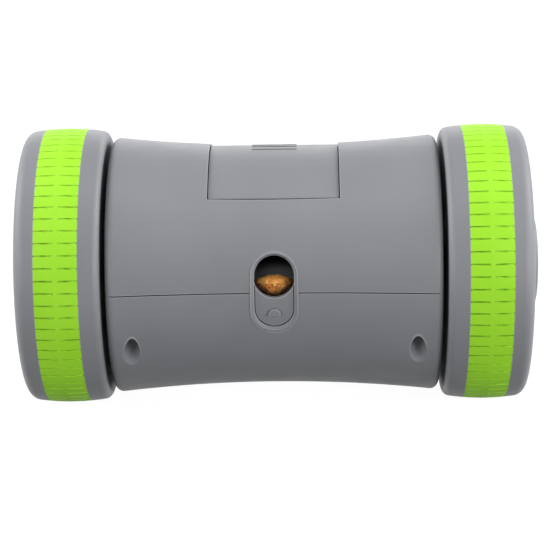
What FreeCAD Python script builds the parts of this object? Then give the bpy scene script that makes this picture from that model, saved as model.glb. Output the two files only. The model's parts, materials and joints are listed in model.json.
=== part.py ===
import FreeCAD, Part
import math
import os

# Roaming treat dispenser: an hourglass casing carried between two driven wheels.
# Millimetres. X runs along the wheel axis, -Y is the front, Z is up, the origin is on the axis at mid length.
# An angle round the casing is 0 at the front, 90 at the top, 180 at the back and -90 underneath.
# An offset is a distance outwards from the casing's outer surface, so it is negative inside the wall.

V = FreeCAD.Vector
ORIGIN = V(0, 0, 0)
X_AXIS = V(1, 0, 0)
Y_AXIS = V(0, 1, 0)
Z_AXIS = V(0, 0, 1)

# Casing
BODY_HALF_LENGTH = 66.65
WAIST_RADIUS = 49.4
FLARE_RADIUS = 580.0
WALL = 2.2
END_WALL = 2.2
BODY_END_ROUNDING = 3.0
SEAM_WIDTH = 0.4
SEAM_DEPTH = 0.8
SEAT_GAP = 0.3

# Sizes of the modelling itself: how far a cut runs past, how deep a joined piece bites, what counts as equal
PAST = 1.0
BITE = 0.5
SAME = 0.05

# Bearings and axles
AXLE_RADIUS = 3.0
RUNNING_CLEARANCE = 0.05
BUSH_LENGTH = 4.1
BUSH_WALL = 1.95
BUSH_FLANGE_RADIUS = 7.0
BUSH_FLANGE = 0.8
INNER_BUSH_WALL = 1.45
INNER_BUSH_FLANGE_RADIUS = 5.5
INNER_BUSH_FLANGE = 0.6
BUSH_SEAT_RADIUS = 8.0
INNER_BUSH_STAND = 0.4
CLIP_RADIUS = 5.0
CLIP_THICKNESS = 0.8
CLIP_SLOT = 4.0
CLIP_GROOVE_DEPTH = 0.4
AXLE_TAIL = 0.9

# Fill door and its opening
DOOR_HALF_LENGTH = 26.0
DOOR_SIDE_GAP = 0.4
DOOR_FRONT_ANGLE = 45.0
DOOR_REAR_ANGLE = 130.5
DOOR_SINK = 0.15
DOOR_THICKNESS = 2.0
DOOR_LIP_ROUNDING = 0.7
DOOR_LEDGE = 2.0
DOOR_FRAME_WIDTH = 2.1
DOOR_FRAME_DEPTH = 4.6
HINGE_ANGLE = 135.0
HINGE_DEPTH = 2.4
HINGE_BARREL_RADIUS = 2.3
HINGE_INSET = 5.3
HINGE_PIN_RADIUS = 1.0
HINGE_POCKET_ANGLE = 132.8
KNUCKLE_GAP = 0.35
HINGE_SLOT_WIDTH = 3.6
GRIP_ANGLES = (86.0, 91.5, 97.0)
GRIP_HALF_LENGTH = 9.2
GRIP_WIDTH = 1.7
GRIP_HEIGHT = 0.3
SNAP_ANGLE = 55.0
SNAP_RADIUS = 1.2
SNAP_HEIGHT = 0.33

# Treat gates, front and back
BEZEL_BORDER = 1.7
BEZEL_END_BORDER = 1.85
BEZEL_DROP = 0.4
BEZEL_GAP = 0.05
BEZEL_LIP = 1.2
BEZEL_PROUD = 0.25
BEZEL_DISH_DEPTH = 1.1
BEZEL_DISH_WIDTH = 1.2
SLOT_HALF_WIDTH = 7.9
SLOT_HALF_HEIGHT = 14.6
NECK_BORDER = 1.0
TRACK_STEP = 0.1
BEZEL_REACH_ANGLE = 25.0
RAIL_WIDTH = 2.4
RAIL_DEPTH = 2.8
RAIL_LIP = 0.6
RAIL_LIP_WIDTH = 0.8
RAIL_TOP_ANGLE = 21.5
RAIL_BAR_ANGLE = 2.3
GATE_PLATE_THICKNESS = 1.6
GATE_TOP_ANGLE = 4.1
GATE_BOTTOM_ANGLE = -30.4
GATE_PAD_GAP = 0.4
GATE_PAD_DEPTH = 1.3
GATE_HOLLOW_RADIUS = 8.3
GATE_HOLLOW_DROP = 0.7
NUB_HALF_WIDTH = 2.7
NUB_HEIGHT = 0.9
NUB_TOP = -6.8
NUB_BOTTOM = -9.8
NUB_ROUNDING = 0.7

# Hopper tray
HOPPER_HALF_LENGTH = 36.0
HOPPER_FLOOR_Z = -9.0
HOPPER_SHEET = 2.0
HOPPER_NOTCH_GAP = 0.4
POST_INSET = 6.0
POST_Y = 30.0
POST_RADIUS = 3.2
HOPPER_SCREW_LENGTH = 12.0

# Casing screws, from below
TOWER_INSET = 9.45
TOWER_SINK = 4.0
TOWER_RADIUS = 5.2
TOWER_RECESS_RADIUS = 3.45
TOWER_SEAT_Z = -12.0
UPPER_BOSS_RADIUS = 5.4
UPPER_BOSS_HEIGHT = 12.0
CASING_SCREW_RADIUS = 1.25
CASING_SCREW_HEAD_RADIUS = 2.8
CASING_SCREW_HEAD = 2.2
CASING_SCREW_REACH = 9.5
SCREW_TIP_ROOM = 0.5
DRIVE_RECESS_SHARE = 0.4

# Battery box and door
CELL_RADIUS = 5.25
CELL_LENGTH = 44.5
CELL_NUB = 0.8
CELL_NUB_RADIUS = 1.9
CELL_SPACING = 0.5
CELL_DEPTH = 11.8
CELL_SIDE_GAP = 0.55
BATTERY_SPRING_LENGTH = 1.85
BATTERY_SPRING_TIP_RADIUS = 3.25
BATTERY_SPRING_BASE_RADIUS = 4.25
CONTACT_THICKNESS = 0.5
CONTACT_HEIGHT = 9.0
CONTACT_BUTTON_RADIUS = 2.9
BOX_WALL = 1.4
BOX_LEDGE = 1.2
BOX_ROOF_GAP = 0.9
BATTERY_DOOR_REACH = 8.0
BATTERY_DOOR_END_GAP = 0.7
BATTERY_DOOR_SIDE_GAP = 0.3
BATTERY_LEDGE_REACH = 3.4
BATTERY_LEDGE_THICKNESS = 2.6
BATTERY_LEDGE_REACH_ANGLE = 25.0
BATTERY_DOOR_REACH_ANGLE = 30.0
BATTERY_SCREW_INSET = 3.1
BATTERY_BOSS_RADIUS = 3.2
BATTERY_BOSS_DEPTH = 9.9
BATTERY_SCREW_RADIUS = 1.2
BATTERY_SCREW_HEAD_RADIUS = 2.6
BATTERY_SCREW_HEAD = 1.1
BATTERY_SCREW_SINK = 0.2
BATTERY_SCREW_COVER = 0.8
BATTERY_RIB_INSET = 2.25
BATTERY_RIB_WIDTH = 2.0
BATTERY_RIB_GAP = 0.4

# Circuit board and power button
BOARD_HALF_LENGTH = 24.0
BOARD_HALF_WIDTH = 30.0
BOARD_THICKNESS = 1.6
BOARD_DROP = 11.4
BOARD_POST_X = 20.0
BOARD_POST_Y = 24.0
BOARD_POST_RADIUS = 2.4
SMALL_SCREW_RADIUS = 0.9
SMALL_SCREW_HEAD_RADIUS = 2.0
SMALL_SCREW_HEAD = 1.2
SMALL_SCREW_GRIP = 6.0
CONTROLLER_HALF_WIDTH = 5.0
CHIP_HEIGHT = 1.4
DRIVER_X = -13.5
DRIVER_HALF_LENGTH = 4.0
DRIVER_HALF_WIDTH = 2.5
CAPACITOR_PLACE = (12.0, -8.0)
CAPACITOR_RADIUS = 2.5
CAPACITOR_HEIGHT = 7.0
SOUNDER_PLACE = (-10.0, 16.0)
SOUNDER_RADIUS = 4.5
SOUNDER_HEIGHT = 4.0
SOCKET_X = (-12.0, 0.0, 12.0)
SOCKET_Y = -26.0
SOCKET_HALF_LENGTH = 2.5
SOCKET_HALF_WIDTH = 2.0
SOCKET_HEIGHT = 5.0
BUTTON_X = 22.0
BUTTON_RISE = 2.4
BUTTON_RADIUS = 4.3
BUTTON_GAP = 0.25
BUTTON_FACE_DEPTH = 3.0
BUTTON_DOME = 0.8
BUTTON_BOSS_RADIUS = 6.6
BUTTON_BOSS_DEPTH = 9.9
BUTTON_FLANGE_RADIUS = 5.4
BUTTON_FLANGE = 1.3
BUTTON_STEM_RADIUS = 1.7
BUTTON_STEM_GAP = 3.4
SWITCH_HALF_LENGTH = 3.0
SWITCH_BACK = 5.0
SWITCH_FRONT = 1.5
SWITCH_BORE_BACK = 2.4
PLUNGER_BACK = 0.8

# Gearboxes
FRAME_THICKNESS = 2.0
COVER_THICKNESS = 1.5
COVER_GAP = 0.5
GEAR_ROOM = 14.0
FRAME_HALF_WIDTH = 23.5
FRAME_TOP_Z = 9.0
FRAME_BOTTOM_DEPTH = 10.4
UPPER_SPACER_INSET = (3.0, 2.7)
LOWER_SPACER_INSET = (4.5, 3.0)
SPACER_RADIUS = 2.2
LUG_WIDTH = 9.5
LUG_BITE = 2.0
LUG_LENGTH = 12.0
LUG_TOP_Z = -6.0
LUG_THICKNESS = 2.0
LUG_POST_REACH = 7.0
LUG_POST_INSET = 4.0
LUG_SCREW_LENGTH = 10.0
GEARBOX_SCREW_RADIUS = 1.0
GEARBOX_SCREW_LENGTH = 7.5
GEAR_PIN_RADIUS = 1.0
GEAR_PIN_SEAT = 1.2
GEAR_END_PLAY = 0.3
GEAR_HUB_RADIUS = 1.7

# Gears, as module, tooth count and face; a face is two distances from the gearbox's inner plate
PRESSURE_ANGLE = 25.0
FINE_MODULE = 0.5
COARSE_MODULE = 0.8
ADDENDUM = 0.8
DEDENDUM = 1.05
TOOTH_THINNING = 0.08
FLANK_STEPS = 2
FLANK_START = 1.001
MOTOR_TEETH = 10
WHEEL_TEETH = 36
SMALL_TEETH = 10
LAST_SMALL_TEETH = 11
OUTPUT_TEETH = 44
SECOND_GEAR_ANGLE = -60.0
FIRST_GEAR_ANGLE = -157.0
MOTOR_ANGLE = -145.6
PINION_FACE = (0.7, 3.8)
FIRST_LARGE_FACE = (1.0, 3.5)
FIRST_SMALL_FACE = (3.5, 7.3)
SECOND_LARGE_FACE = (4.5, 7.0)
SECOND_SMALL_FACE = (7.0, 13.3)
OUTPUT_FACE = (8.0, 13.0)
OUTPUT_HUB_RADIUS = 5.5
OUTPUT_HUB_FACE = (7.4, 13.5)

# Motors
MOTOR_RADIUS = 7.7
MOTOR_FLAT = 6.0
MOTOR_GAP = 1.0
MOTOR_NOSE_RADIUS = 3.0
MOTOR_NOSE = 1.5
MOTOR_SHAFT_RADIUS = 1.0
MOTOR_SHAFT_DEPTH = 3.0
MOTOR_SHAFT_TIP = 0.3
MOTOR_SCREW_OFFSET = 4.8
MOTOR_SCREW_RADIUS = 0.8
MOTOR_SCREW_HEAD_RADIUS = 1.4
MOTOR_SCREW_HEAD = 0.7
MOTOR_SCREW_GRIP = 2.0

# Wheels
WHEEL_RADIUS = 57.0
WHEEL_CROWN = 95.0
WHEEL_GAP = 2.0
INNER_RIM_WIDTH = 8.2
OUTER_RIM_WIDTH = 8.2
TREAD_ROW = 7.7
TREAD_CENTRE = 1.8
TREAD_THICKNESS = 3.6
TREAD_GROOVE_WIDTH = 0.65
TREAD_GROOVE_DEPTH = 0.55
TREAD_LANDS = 72
WHEEL_INNER_ROUNDING = 3.0
WHEEL_OUTER_ROUNDING = 5.0
WHEEL_WALL = 2.2
WHEEL_HUB_RADIUS = 8.0
WHEEL_FACE_RISE = 2.2
CAP_RADIUS = 19.8
CAP_GAP = 0.3
CAP_DEPTH = 6.0
HUB_FLOOR = 2.0
CAP_STAND = 5.25
CAP_ROUNDING = 2.4
CAP_PLATE = 1.8
CAP_SKIRT = 2.4
WHEEL_BOSS_RING = 34.0
WHEEL_BOSS_RADIUS = 4.0
WHEEL_SCREWS = 4
FIRST_BOSS_ANGLE = 45.0
WHEEL_SCREW_RADIUS = 1.2
WHEEL_SCREW_HEAD_RADIUS = 2.6
WHEEL_SCREW_HEAD = 2.0
WHEEL_SCREW_RECESS = 3.8
WHEEL_SCREW_LENGTH = 24.0
SCREW_HOLE_CLEARANCE = 0.4
AXLE_SCREW_RADIUS = 1.5
AXLE_SCREW_HEAD_RADIUS = 2.9
AXLE_SCREW_HEAD = 2.2
AXLE_SCREW_LENGTH = 10.0

# Sizes worked out from the ones above
WHEEL_INNER_X = BODY_HALF_LENGTH + WHEEL_GAP
TREAD_INNER_X = WHEEL_INNER_X + INNER_RIM_WIDTH
TREAD_OUTER_X = TREAD_INNER_X + 2 * TREAD_ROW + TREAD_CENTRE
WHEEL_OUTER_X = TREAD_OUTER_X + OUTER_RIM_WIDTH
WHEEL_HUB_STAND = WHEEL_GAP - BUSH_FLANGE - SEAT_GAP
TREAD_SEAT_RADIUS = WHEEL_RADIUS - TREAD_THICKNESS
CAP_OUTER_X = WHEEL_OUTER_X + CAP_STAND
CAP_FLOOR_X = CAP_OUTER_X - CAP_DEPTH
REACH = 2 * CAP_OUTER_X
WHEEL_JOIN_X = (TREAD_INNER_X + TREAD_OUTER_X) / 2
AXLE_BORE = AXLE_RADIUS + RUNNING_CLEARANCE
BUSH_RADIUS = AXLE_BORE + BUSH_WALL
INNER_BUSH_RADIUS = AXLE_BORE + INNER_BUSH_WALL
TOWER_X = BODY_HALF_LENGTH - TOWER_INSET
TOWER_Y = WAIST_RADIUS - TOWER_SINK
DOOR_RADIUS = WAIST_RADIUS - DOOR_SINK
DOOR_INNER_RADIUS = DOOR_RADIUS - DOOR_THICKNESS
DOOR_POCKET_RADIUS = DOOR_INNER_RADIUS - SEAT_GAP
HINGE_HALF_LENGTH = DOOR_HALF_LENGTH - HINGE_INSET
HINGE_RADIUS = WAIST_RADIUS - HINGE_DEPTH
GATE_OUTER_OFFSET = -WALL - SEAT_GAP
GATE_INNER_OFFSET = GATE_OUTER_OFFSET - GATE_PLATE_THICKNESS
BEZEL_HALF_WIDTH = SLOT_HALF_WIDTH + BEZEL_BORDER
BEZEL_HALF_HEIGHT = SLOT_HALF_HEIGHT + BEZEL_END_BORDER
NECK_HALF_WIDTH = SLOT_HALF_WIDTH + NECK_BORDER
RAIL_INNER_OFFSET = -WALL - RAIL_DEPTH
RAIL_INNER_WIDTH = NECK_HALF_WIDTH + TRACK_STEP
RAIL_OUTER = NECK_HALF_WIDTH + RAIL_WIDTH
POST_X = HOPPER_HALF_LENGTH - POST_INSET
BATTERY_DOOR_INNER_OFFSET = -WALL
BATTERY_LEDGE_OFFSET = BATTERY_DOOR_INNER_OFFSET - SEAT_GAP
CELL_PITCH = 2 * CELL_RADIUS + CELL_SPACING
CELL_Z = CELL_DEPTH - WAIST_RADIUS
CELL_BAY_HALF_WIDTH = CELL_PITCH + CELL_RADIUS + CELL_SIDE_GAP
CELL_BAY_HALF_LENGTH = CELL_LENGTH / 2 + BATTERY_SPRING_LENGTH + CONTACT_THICKNESS
BATTERY_DOOR_HALF_LENGTH = CELL_BAY_HALF_LENGTH + BATTERY_DOOR_REACH
BATTERY_DOOR_HALF_WIDTH = CELL_BAY_HALF_WIDTH + BOX_LEDGE - BATTERY_DOOR_SIDE_GAP
BATTERY_LEDGE_HALF_LENGTH = BATTERY_DOOR_HALF_LENGTH + BATTERY_LEDGE_REACH
BATTERY_SCREW_X = BATTERY_DOOR_HALF_LENGTH - BATTERY_SCREW_INSET
BATTERY_BOSS_TOP_Z = BATTERY_BOSS_DEPTH - WAIST_RADIUS
BATTERY_RIB_HALF_LENGTH = CELL_LENGTH / 2 - BATTERY_RIB_INSET
BOX_ROOF_Z = CELL_Z + CELL_RADIUS + BOX_ROOF_GAP
GATE_HOLLOW_Z = SLOT_HALF_HEIGHT - SLOT_HALF_WIDTH - GATE_HOLLOW_DROP
BOARD_TOP_Z = HOPPER_FLOOR_Z - HOPPER_SHEET - BOARD_DROP
BUTTON_Z = BOARD_TOP_Z + BUTTON_RISE
BUTTON_FACE_Y = WAIST_RADIUS - BUTTON_FACE_DEPTH
BUTTON_BOSS_INNER_Y = WAIST_RADIUS - BUTTON_BOSS_DEPTH
BUTTON_STEM_END_Y = BOARD_HALF_WIDTH + BUTTON_STEM_GAP
SWITCH_BACK_Y = BOARD_HALF_WIDTH - SWITCH_BACK
SWITCH_FRONT_Y = BOARD_HALF_WIDTH + SWITCH_FRONT
SWITCH_BORE_Y = BOARD_HALF_WIDTH - SWITCH_BORE_BACK
PLUNGER_INNER_Y = BOARD_HALF_WIDTH - PLUNGER_BACK
COVER_X = BODY_HALF_LENGTH - BUSH_LENGTH - COVER_GAP - COVER_THICKNESS
GEAR_ROOM_X = COVER_X - GEAR_ROOM
FRAME_X = GEAR_ROOM_X - FRAME_THICKNESS
MOTOR_LENGTH = FRAME_X - CELL_BAY_HALF_LENGTH - BOX_WALL - MOTOR_GAP
FRAME_BOTTOM_Z = FRAME_BOTTOM_DEPTH - WAIST_RADIUS
UPPER_SPACER = (FRAME_HALF_WIDTH - UPPER_SPACER_INSET[0], FRAME_TOP_Z - UPPER_SPACER_INSET[1])
LOWER_SPACER = (FRAME_HALF_WIDTH - LOWER_SPACER_INSET[0], FRAME_BOTTOM_Z + LOWER_SPACER_INSET[1])
LUG_OUTER_Y = FRAME_HALF_WIDTH + LUG_WIDTH
LUG_INNER_Y = FRAME_HALF_WIDTH - LUG_BITE
LUG_OUTER_X = FRAME_X + LUG_LENGTH
LUG_POST_X = FRAME_X + LUG_POST_REACH
LUG_POST_Y = LUG_OUTER_Y - LUG_POST_INSET


def box(x1, x2, y1, y2, z1, z2):
    return Part.makeBox(x2 - x1, y2 - y1, z2 - z1, V(x1, y1, z1))


def rod_x(radius, x1, x2, y=0.0, z=0.0):
    return Part.makeCylinder(radius, x2 - x1, V(x1, y, z), X_AXIS)


def rod_y(radius, y1, y2, x=0.0, z=0.0):
    return Part.makeCylinder(radius, y2 - y1, V(x, y1, z), Y_AXIS)


def rod_z(radius, z1, z2, x=0.0, y=0.0):
    return Part.makeCylinder(radius, z2 - z1, V(x, y, z1), Z_AXIS)


def tube_x(inner, outer, x1, x2, y=0.0, z=0.0):
    return rod_x(outer, x1, x2, y, z).cut(rod_x(inner, x1 - PAST, x2 + PAST, y, z))


def joined(first, *others):
    return first.fuse(list(others)).removeSplitter()


def mirrored(shape):
    """The same piece for the other end of the dispenser."""
    return shape.mirror(ORIGIN, X_AXIS)


def both_ends(shape):
    return [shape, mirrored(shape)]


def turned_back(shape):
    """The same piece at the back of the dispenser."""
    return shape.mirror(ORIGIN, Y_AXIS)


def corners(x, y):
    return [(x, y), (-x, y), (x, -y), (-x, -y)]


def direction(angle):
    turn = math.radians(angle)
    return V(0, -math.cos(turn), math.sin(turn))


def casing_radius(x, offset=0.0):
    """Outer radius of the hourglass at a place along its length."""
    return WAIST_RADIUS + offset + x ** 2 / (2 * FLARE_RADIUS)


def casing_line(x1, x2, offset, angle):
    """The hourglass line between two places, in the half plane at an angle, as one parabola."""
    out = direction(angle)
    middle = WAIST_RADIUS + offset + x1 * x2 / (2 * FLARE_RADIUS)
    start = V(x1, 0, 0) + out * casing_radius(x1, offset)
    end = V(x2, 0, 0) + out * casing_radius(x2, offset)
    line = Part.BezierCurve()
    line.setPoles([start, V((x1 + x2) / 2, 0, 0) + out * middle, end])
    return line.toShape(), start, end


def casing_degrees(length):
    """The angle that a length round the waist takes up."""
    return math.degrees(length / WAIST_RADIUS)


def barrel(half_length, offset):
    """A solid hourglass."""
    line, start, end = casing_line(-half_length, half_length, offset, 90)
    foot = V(-half_length, 0, 0)
    toe = V(half_length, 0, 0)
    edges = [line, Part.makeLine(end, toe), Part.makeLine(toe, foot), Part.makeLine(foot, start)]
    return Part.Face(Part.Wire(edges)).revolve(ORIGIN, X_AXIS, 360)


def patch(x1, x2, inner_offset, outer_offset, from_angle, to_angle):
    """A piece of the hourglass wall between two offsets and two angles."""
    outer, outer_start, outer_end = casing_line(x1, x2, outer_offset, from_angle)
    inner, inner_start, inner_end = casing_line(x1, x2, inner_offset, from_angle)
    edges = [outer, Part.makeLine(outer_end, inner_end), inner, Part.makeLine(inner_start, outer_start)]
    face = Part.Face(Part.Wire(Part.__sortEdges__(edges)))
    return face.revolve(ORIGIN, X_AXIS * -1, to_angle - from_angle)


def round_patch(x1, x2, inner_radius, outer_radius, from_angle, to_angle):
    """A piece of a straight round wall between two radii and two angles."""
    out = direction(from_angle)
    places = ((x1, inner_radius), (x2, inner_radius), (x2, outer_radius), (x1, outer_radius), (x1, inner_radius))
    wire = Part.makePolygon([V(x, 0, 0) + out * radius for x, radius in places])
    return Part.Face(wire).revolve(ORIGIN, X_AXIS * -1, to_angle - from_angle)


def obround(half_width, half_height, y1, y2, drop=0.0):
    """An upright slot shape along Y."""
    straight = half_height - half_width
    middle = box(-half_width, half_width, y1, y2, -straight - drop, straight - drop)
    ends = [rod_y(half_width, y1, y2, 0, z - drop) for z in (-straight, straight)]
    return joined(middle, *ends)


def lines_through(places):
    """Straight edges through (x, radius) places."""
    points = [V(x, 0, radius) for x, radius in places]
    return [Part.makeLine(start, end) for start, end in zip(points, points[1:])]


def turned(edges):
    """A solid of revolution about X from a closed outline."""
    return Part.Face(Part.Wire(Part.__sortEdges__(edges))).revolve(ORIGIN, X_AXIS, 360)


def crown_radius(x, sink=0.0):
    """Outer radius of a wheel at a place along its axle: it bulges gently to its middle."""
    rise = math.sqrt(WHEEL_CROWN ** 2 - (x - WHEEL_JOIN_X) ** 2)
    return WHEEL_RADIUS - WHEEL_CROWN + rise - sink


def crown_arc(x1, x2, sink=0.0):
    middle = (x1 + x2) / 2
    places = [V(x, 0, crown_radius(x, sink)) for x in (x1, middle, x2)]
    return Part.Arc(*places).toShape()


def crowned_disc(x1, x2, sink=0.0):
    """A solid slice of a wheel under its crown."""
    sides = lines_through([(x2, crown_radius(x2, sink)), (x2, 0), (x1, 0), (x1, crown_radius(x1, sink))])
    return turned([crown_arc(x1, x2, sink)] + sides)


def circles_at(shape, x, radius):
    """The round edges of a turned solid at one place and radius."""
    found = []
    for edge in shape.Edges:
        if isinstance(edge.Curve, Part.Circle):
            same_place = abs(edge.Curve.Center.x - x) < SAME
            if same_place and abs(edge.Curve.Radius - radius) < SAME:
                found.append(edge)
    return found


def gear_profile(teeth, module, first_tooth):
    """Corners of a spur gear seen along X, with one tooth centred at the angle first_tooth."""
    pitch = teeth * module / 2
    base = pitch * math.cos(math.radians(PRESSURE_ANGLE))
    tip = pitch + ADDENDUM * module
    root = pitch - DEDENDUM * module
    involute_at_pitch = math.tan(math.radians(PRESSURE_ANGLE)) - math.radians(PRESSURE_ANGLE)
    half_at_pitch = (math.pi * module / 2 - TOOTH_THINNING) / (2 * pitch)
    start = max(base * FLANK_START, root)
    flank = []
    for step in range(FLANK_STEPS + 1):
        radius = start + (tip - start) * step / FLANK_STEPS
        roll = math.acos(base / radius)
        flank.append((radius, half_at_pitch + involute_at_pitch - (math.tan(roll) - roll)))
    side = [(root, flank[0][1])] + flank if root < start - SAME / 2 else flank
    corners_out = []
    for tooth in range(teeth):
        centre = math.radians(first_tooth) + 2 * math.pi * tooth / teeth
        rising = [(radius, centre - half) for radius, half in side]
        falling = [(radius, centre + half) for radius, half in reversed(side)]
        corners_out += rising + falling
    return corners_out


def toothed_ring(teeth, module, face, centre, first_tooth):
    """The toothed part of a gear, solid to its middle."""
    points = []
    for radius, turn in gear_profile(teeth, module, first_tooth):
        y = centre[0] + radius * math.cos(turn)
        z = centre[1] + radius * math.sin(turn)
        points.append(V(GEAR_ROOM_X + face[0], y, z))
    wire = Part.makePolygon(points + [points[0]])
    return Part.Face(wire).extrude(V(face[1] - face[0], 0, 0))


def step_from(start, distance, angle):
    """A place in the Y, Z plane at a distance and angle (from +Y towards +Z) of another."""
    turn = math.radians(angle)
    return (start[0] + distance * math.cos(turn), start[1] + distance * math.sin(turn))


def pitch_distance(teeth, other_teeth, module):
    return (teeth + other_teeth) * module / 2


OUTPUT_DISTANCE = pitch_distance(OUTPUT_TEETH, LAST_SMALL_TEETH, COARSE_MODULE)
SECOND_GEAR = step_from((0, 0), OUTPUT_DISTANCE, SECOND_GEAR_ANGLE)
SECOND_DISTANCE = pitch_distance(WHEEL_TEETH, SMALL_TEETH, FINE_MODULE)
FIRST_GEAR = step_from(SECOND_GEAR, SECOND_DISTANCE, FIRST_GEAR_ANGLE)
MOTOR = step_from(FIRST_GEAR, pitch_distance(WHEEL_TEETH, MOTOR_TEETH, FINE_MODULE), MOTOR_ANGLE)


def whole_casing():
    """Both halves of the casing in one, with its bush seats, gate windows and seam line."""
    outer = barrel(BODY_HALF_LENGTH, 0)
    rim = circles_at(outer, BODY_HALF_LENGTH, casing_radius(BODY_HALF_LENGTH))
    rim += circles_at(outer, -BODY_HALF_LENGTH, casing_radius(BODY_HALF_LENGTH))
    outer = outer.makeFillet(BODY_END_ROUNDING, rim)
    shell = outer.cut(barrel(BODY_HALF_LENGTH - END_WALL, -WALL))
    seat = rod_x(BUSH_SEAT_RADIUS, BODY_HALF_LENGTH - BUSH_LENGTH, BODY_HALF_LENGTH - END_WALL / 2)
    shell = shell.fuse(both_ends(seat))
    bores = both_ends(rod_x(BUSH_RADIUS, BODY_HALF_LENGTH - BUSH_LENGTH - PAST, BODY_HALF_LENGTH + PAST))
    window_half_width = BEZEL_HALF_WIDTH + BEZEL_GAP
    window_half_height = BEZEL_HALF_HEIGHT + BEZEL_GAP
    window = obround(window_half_width, window_half_height, -REACH, REACH, BEZEL_DROP)
    skin = barrel(BODY_HALF_LENGTH + PAST, PAST).cut(barrel(BODY_HALF_LENGTH - SEAM_DEPTH, -SEAM_DEPTH))
    seam = skin.common(box(-REACH, REACH, -REACH, REACH, -SEAM_WIDTH / 2, SEAM_WIDTH / 2))
    return shell.cut(bores + [window, seam])


def hinge_place():
    out = direction(HINGE_ANGLE) * HINGE_RADIUS
    return out.y, out.z


def post(radius, bottom, top, x, y, room, bore, bore_bottom):
    """An upright post trimmed to the casing, with a blind hole for its screw."""
    return rod_z(radius, bottom, top, x, y).common(room).cut(rod_z(bore, bore_bottom, top + PAST, x, y))


def upper_housing(casing):
    shell = casing.common(box(-REACH, REACH, -REACH, REACH, 0, REACH))
    inside = barrel(BODY_HALF_LENGTH - END_WALL / 2, -WALL / 2)
    bosses = []
    for x, y in corners(TOWER_X, TOWER_Y):
        boss = rod_z(UPPER_BOSS_RADIUS, 0, UPPER_BOSS_HEIGHT, x, y).common(inside)
        bosses.append(boss.cut(rod_z(CASING_SCREW_RADIUS, -PAST, CASING_SCREW_REACH + SCREW_TIP_ROOM, x, y)))
    pocket_half = DOOR_HALF_LENGTH + DOOR_SIDE_GAP
    front = DOOR_FRONT_ANGLE - casing_degrees(DOOR_SIDE_GAP)
    frame = door_frame(pocket_half, front)
    beyond = casing_radius(pocket_half, PAST)
    pocket = round_patch(-pocket_half, pocket_half, DOOR_POCKET_RADIUS, beyond, front, HINGE_POCKET_ANGLE)
    ledge = casing_degrees(DOOR_LEDGE)
    mouth_half = pocket_half - DOOR_LEDGE
    mouth_floor = -DOOR_FRAME_DEPTH - PAST
    mouth = patch(-mouth_half, mouth_half, mouth_floor, PAST, front + ledge, HINGE_POCKET_ANGLE - ledge)
    y, z = hinge_place()
    knuckle_half = HINGE_HALF_LENGTH + SEAT_GAP
    knuckle_room = rod_x(HINGE_BARREL_RADIUS + KNUCKLE_GAP, -knuckle_half, knuckle_half, y, z)
    web_room = round_patch(-knuckle_half, knuckle_half, DOOR_POCKET_RADIUS, beyond,
                           HINGE_POCKET_ANGLE - casing_degrees(BITE), HINGE_ANGLE)
    hinge_slot = patch(-knuckle_half, knuckle_half, -HINGE_DEPTH, PAST,
                       HINGE_ANGLE, HINGE_ANGLE + casing_degrees(HINGE_SLOT_WIDTH))
    pin_bore = rod_x(HINGE_PIN_RADIUS, -pocket_half, pocket_half, y, z)
    shell = shell.fuse([frame] + bosses)
    for tool in (pocket, mouth, knuckle_room, web_room, hinge_slot, pin_bore):
        shell = shell.cut(tool)
    return shell


def door_frame(pocket_half, front):
    """Thicker rim round the fill opening, inside the casing."""
    half = pocket_half + DOOR_FRAME_WIDTH
    rear = HINGE_ANGLE + casing_degrees(HINGE_BARREL_RADIUS + DOOR_FRAME_WIDTH)
    return patch(-half, half, -DOOR_FRAME_DEPTH, -WALL / 2, front - casing_degrees(DOOR_FRAME_WIDTH), rear)


def lower_housing(casing):
    shell = casing.common(box(-REACH, REACH, -REACH, REACH, -REACH, 0))
    inside = barrel(BODY_HALF_LENGTH - END_WALL / 2, -WALL / 2)
    additions = []
    for x, y in corners(TOWER_X, TOWER_Y):
        additions.append(post(TOWER_RADIUS, -REACH, 0, x, y, inside,
                              CASING_SCREW_RADIUS + SCREW_HOLE_CLEARANCE, -REACH))
    underside = HOPPER_FLOOR_Z - HOPPER_SHEET
    for x, y in corners(POST_X, POST_Y):
        additions.append(post(POST_RADIUS, -REACH, underside, x, y, inside,
                              GEARBOX_SCREW_RADIUS, HOPPER_FLOOR_Z - HOPPER_SCREW_LENGTH))
    for x, y in corners(LUG_POST_X, LUG_POST_Y):
        additions.append(post(POST_RADIUS, -REACH, LUG_TOP_Z - LUG_THICKNESS, x, y, inside,
                              GEARBOX_SCREW_RADIUS, LUG_TOP_Z - LUG_SCREW_LENGTH))
    additions.append(battery_box_block(inside))
    additions.append(battery_ledge())
    for x in (-BATTERY_SCREW_X, BATTERY_SCREW_X):
        additions.append(rod_z(BATTERY_BOSS_RADIUS, -REACH, BATTERY_BOSS_TOP_Z, x, 0).common(inside))
    button_boss = rod_y(BUTTON_BOSS_RADIUS, BUTTON_BOSS_INNER_Y, REACH, BUTTON_X, BUTTON_Z)
    additions.append(button_boss.common(inside))
    shell = shell.fuse(additions)
    recesses = []
    for x, y in corners(TOWER_X, TOWER_Y):
        recesses.append(rod_z(TOWER_RECESS_RADIUS, -REACH, TOWER_SEAT_Z, x, y))
    button_bore = rod_y(BUTTON_RADIUS + BUTTON_GAP, BUTTON_BOSS_INNER_Y - PAST, REACH, BUTTON_X, BUTTON_Z)
    for tool in battery_box_cuts() + recesses + [button_bore]:
        shell = shell.cut(tool)
    return shell


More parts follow.
